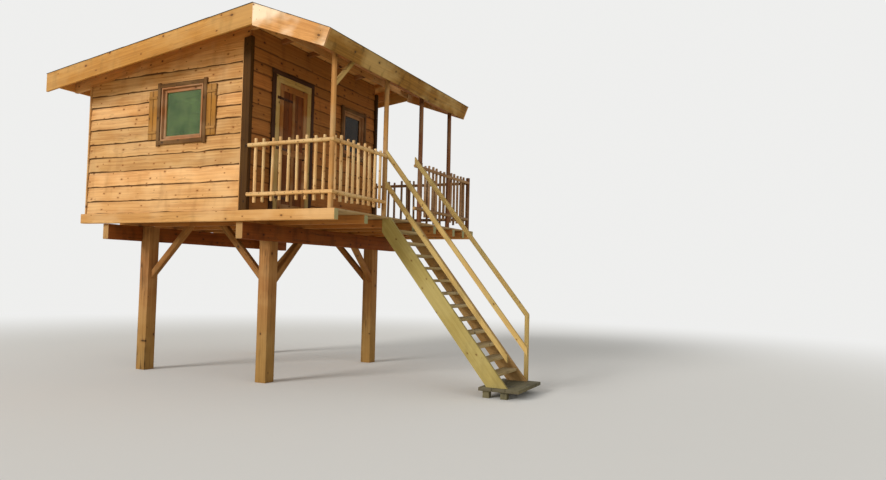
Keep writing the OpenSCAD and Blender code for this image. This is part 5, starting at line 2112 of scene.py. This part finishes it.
@dataclass
class Studio:
    """The pale floor, the soft light and the camera."""

    place: Vector = Vector((6.789, -9.645, 1.689))
    yaw: float = 115.64
    pitch: float = 2.59
    roll: float = 1.34
    lens: float = 27.93
    shift: float = 0.0049
    pale: tuple[float, float, float, float] = (0.86, 0.86, 0.85, 1.0)

    def build(self) -> None:
        """Builds the studio."""
        self.camera()
        self.floor()
        self.world()
        self.lamps()

    def camera(self) -> None:
        """Sets the camera where the picture was taken from."""
        data = bpy.data.cameras.new("view")
        data.sensor_fit = "HORIZONTAL"
        data.sensor_width = 36.0
        data.lens = self.lens
        data.shift_y = self.shift
        data.clip_end = 200.0
        yaw, pitch, roll = (math.radians(a) for a in (self.yaw, self.pitch, self.roll))
        ahead = Vector((math.cos(yaw) * math.cos(pitch), math.sin(yaw) * math.cos(pitch), math.sin(pitch)))
        level = ahead.cross(Way.UP.vector).normalized()
        rise = level.cross(ahead)
        right = level * math.cos(roll) + rise * math.sin(roll)
        up = rise * math.cos(roll) - level * math.sin(roll)
        obj = add_object("view", data)
        obj.matrix_world = Matrix.Translation(self.place) @ Matrix((right, up, -ahead)).transposed().to_4x4()
        bpy.context.scene.camera = obj

    def _seen(self, s: Sheet) -> Socket:
        """Returns one on the rays that show the background."""
        path = s.put("LightPath").outputs
        seen = s.math("MAXIMUM", path["Is Camera Ray"], path["Is Glossy Ray"])
        return s.math("MAXIMUM", seen, path["Is Transmission Ray"])

    def floor(self) -> None:
        """Builds the floor, which runs out into the background."""
        mesh = bmesh.new()
        bmesh.ops.create_circle(mesh, cap_ends=True, segments=64, radius=60.0)
        data = bpy.data.meshes.new("studio_floor")
        mesh.to_mesh(data)
        mesh.free()
        obj = add_object("studio_floor", data)
        material, s = new_material("studio_floor")
        where = s.put("TexCoord").outputs["Object"]
        grain = s.noise(where, (3.0, 3.0, 3.0), 3.0)
        colour = s.lay((0.74, 0.74, 0.73, 1.0), (0.68, 0.68, 0.67, 1.0), grain, 0.08)
        near = s.put("BsdfDiffuse", {"Color": colour})
        dim = s.put("BsdfDiffuse", {"Color": (0.8, 0.7, 0.46, 1.0)})
        far = s.put("Emission", {"Color": self.pale, "Strength": 1.0})
        away = s.ease(s.vector("LENGTH", where), 7.0, 18.0)
        shown = s.put("MixShader", {0: away, 1: near.outputs[0], 2: far.outputs[0]})
        final = s.put("MixShader", {0: self._seen(s), 1: dim.outputs[0], 2: shown.outputs[0]})
        s.put("OutputMaterial", {0: final.outputs[0]})
        data.materials.append(material)

    def world(self) -> None:
        """Lights the house softly from all round, and shows a pale background."""
        world = bpy.data.worlds.new("studio")
        world.use_nodes = True
        s = Sheet(world.node_tree)
        soft = s.put("Background", {"Color": (1.0, 0.98, 0.93, 1.0), "Strength": 0.5})
        shown = s.put("Background", {"Color": self.pale, "Strength": 1.0})
        mixed = s.put("MixShader", {0: self._seen(s), 1: soft.outputs[0], 2: shown.outputs[0]})
        s.put("OutputWorld", {0: mixed.outputs[0]})
        bpy.context.scene.world = world

    def lamps(self) -> None:
        """Hangs the broad key light on the near side and a weak fill over the porch."""
        for name, way, power, spread in (
            ("key", Vector((-0.35, -0.9, 0.4)), 2.3, 22.0),
            ("fill", Vector((0.9, -0.5, 0.3)), 0.5, 60.0),
        ):
            data = bpy.data.lights.new(name, "SUN")
            data.energy = power
            data.angle = math.radians(spread)
            data.color = (1.0, 0.97, 0.92) if name == "key" else (1.0, 1.0, 1.0)
            add_object(name, data).rotation_euler = way.to_track_quat("Z", "Y").to_euler()


def main() -> None:
    """Builds the studio and dresses the house from the ground up."""
    logging.basicConfig(level=logging.INFO, format="%(name)s: %(message)s")
    bpy.context.scene.view_settings.view_transform = "Standard"
    Studio().build()
    WoodGroups().build()
    PostFrame().build()
    Deck().build()
    side_window = WindowUnit("side_window", Vector((-1.208, 0.0, 4.056)), Way.NEAR, 1.004, 0.978)
    porch_window = WindowUnit("porch_window", Vector((FRONT_X, 2.732, 4.16)), Way.FRONT, 0.78, 0.92)
    Cabin(side_window, porch_window, Doorway()).build()
    Roof().build()
    PorchFront().build()
    Railings().build()
    Stair().build()
    Carried().build()


if __name__ == "__main__":
    main()
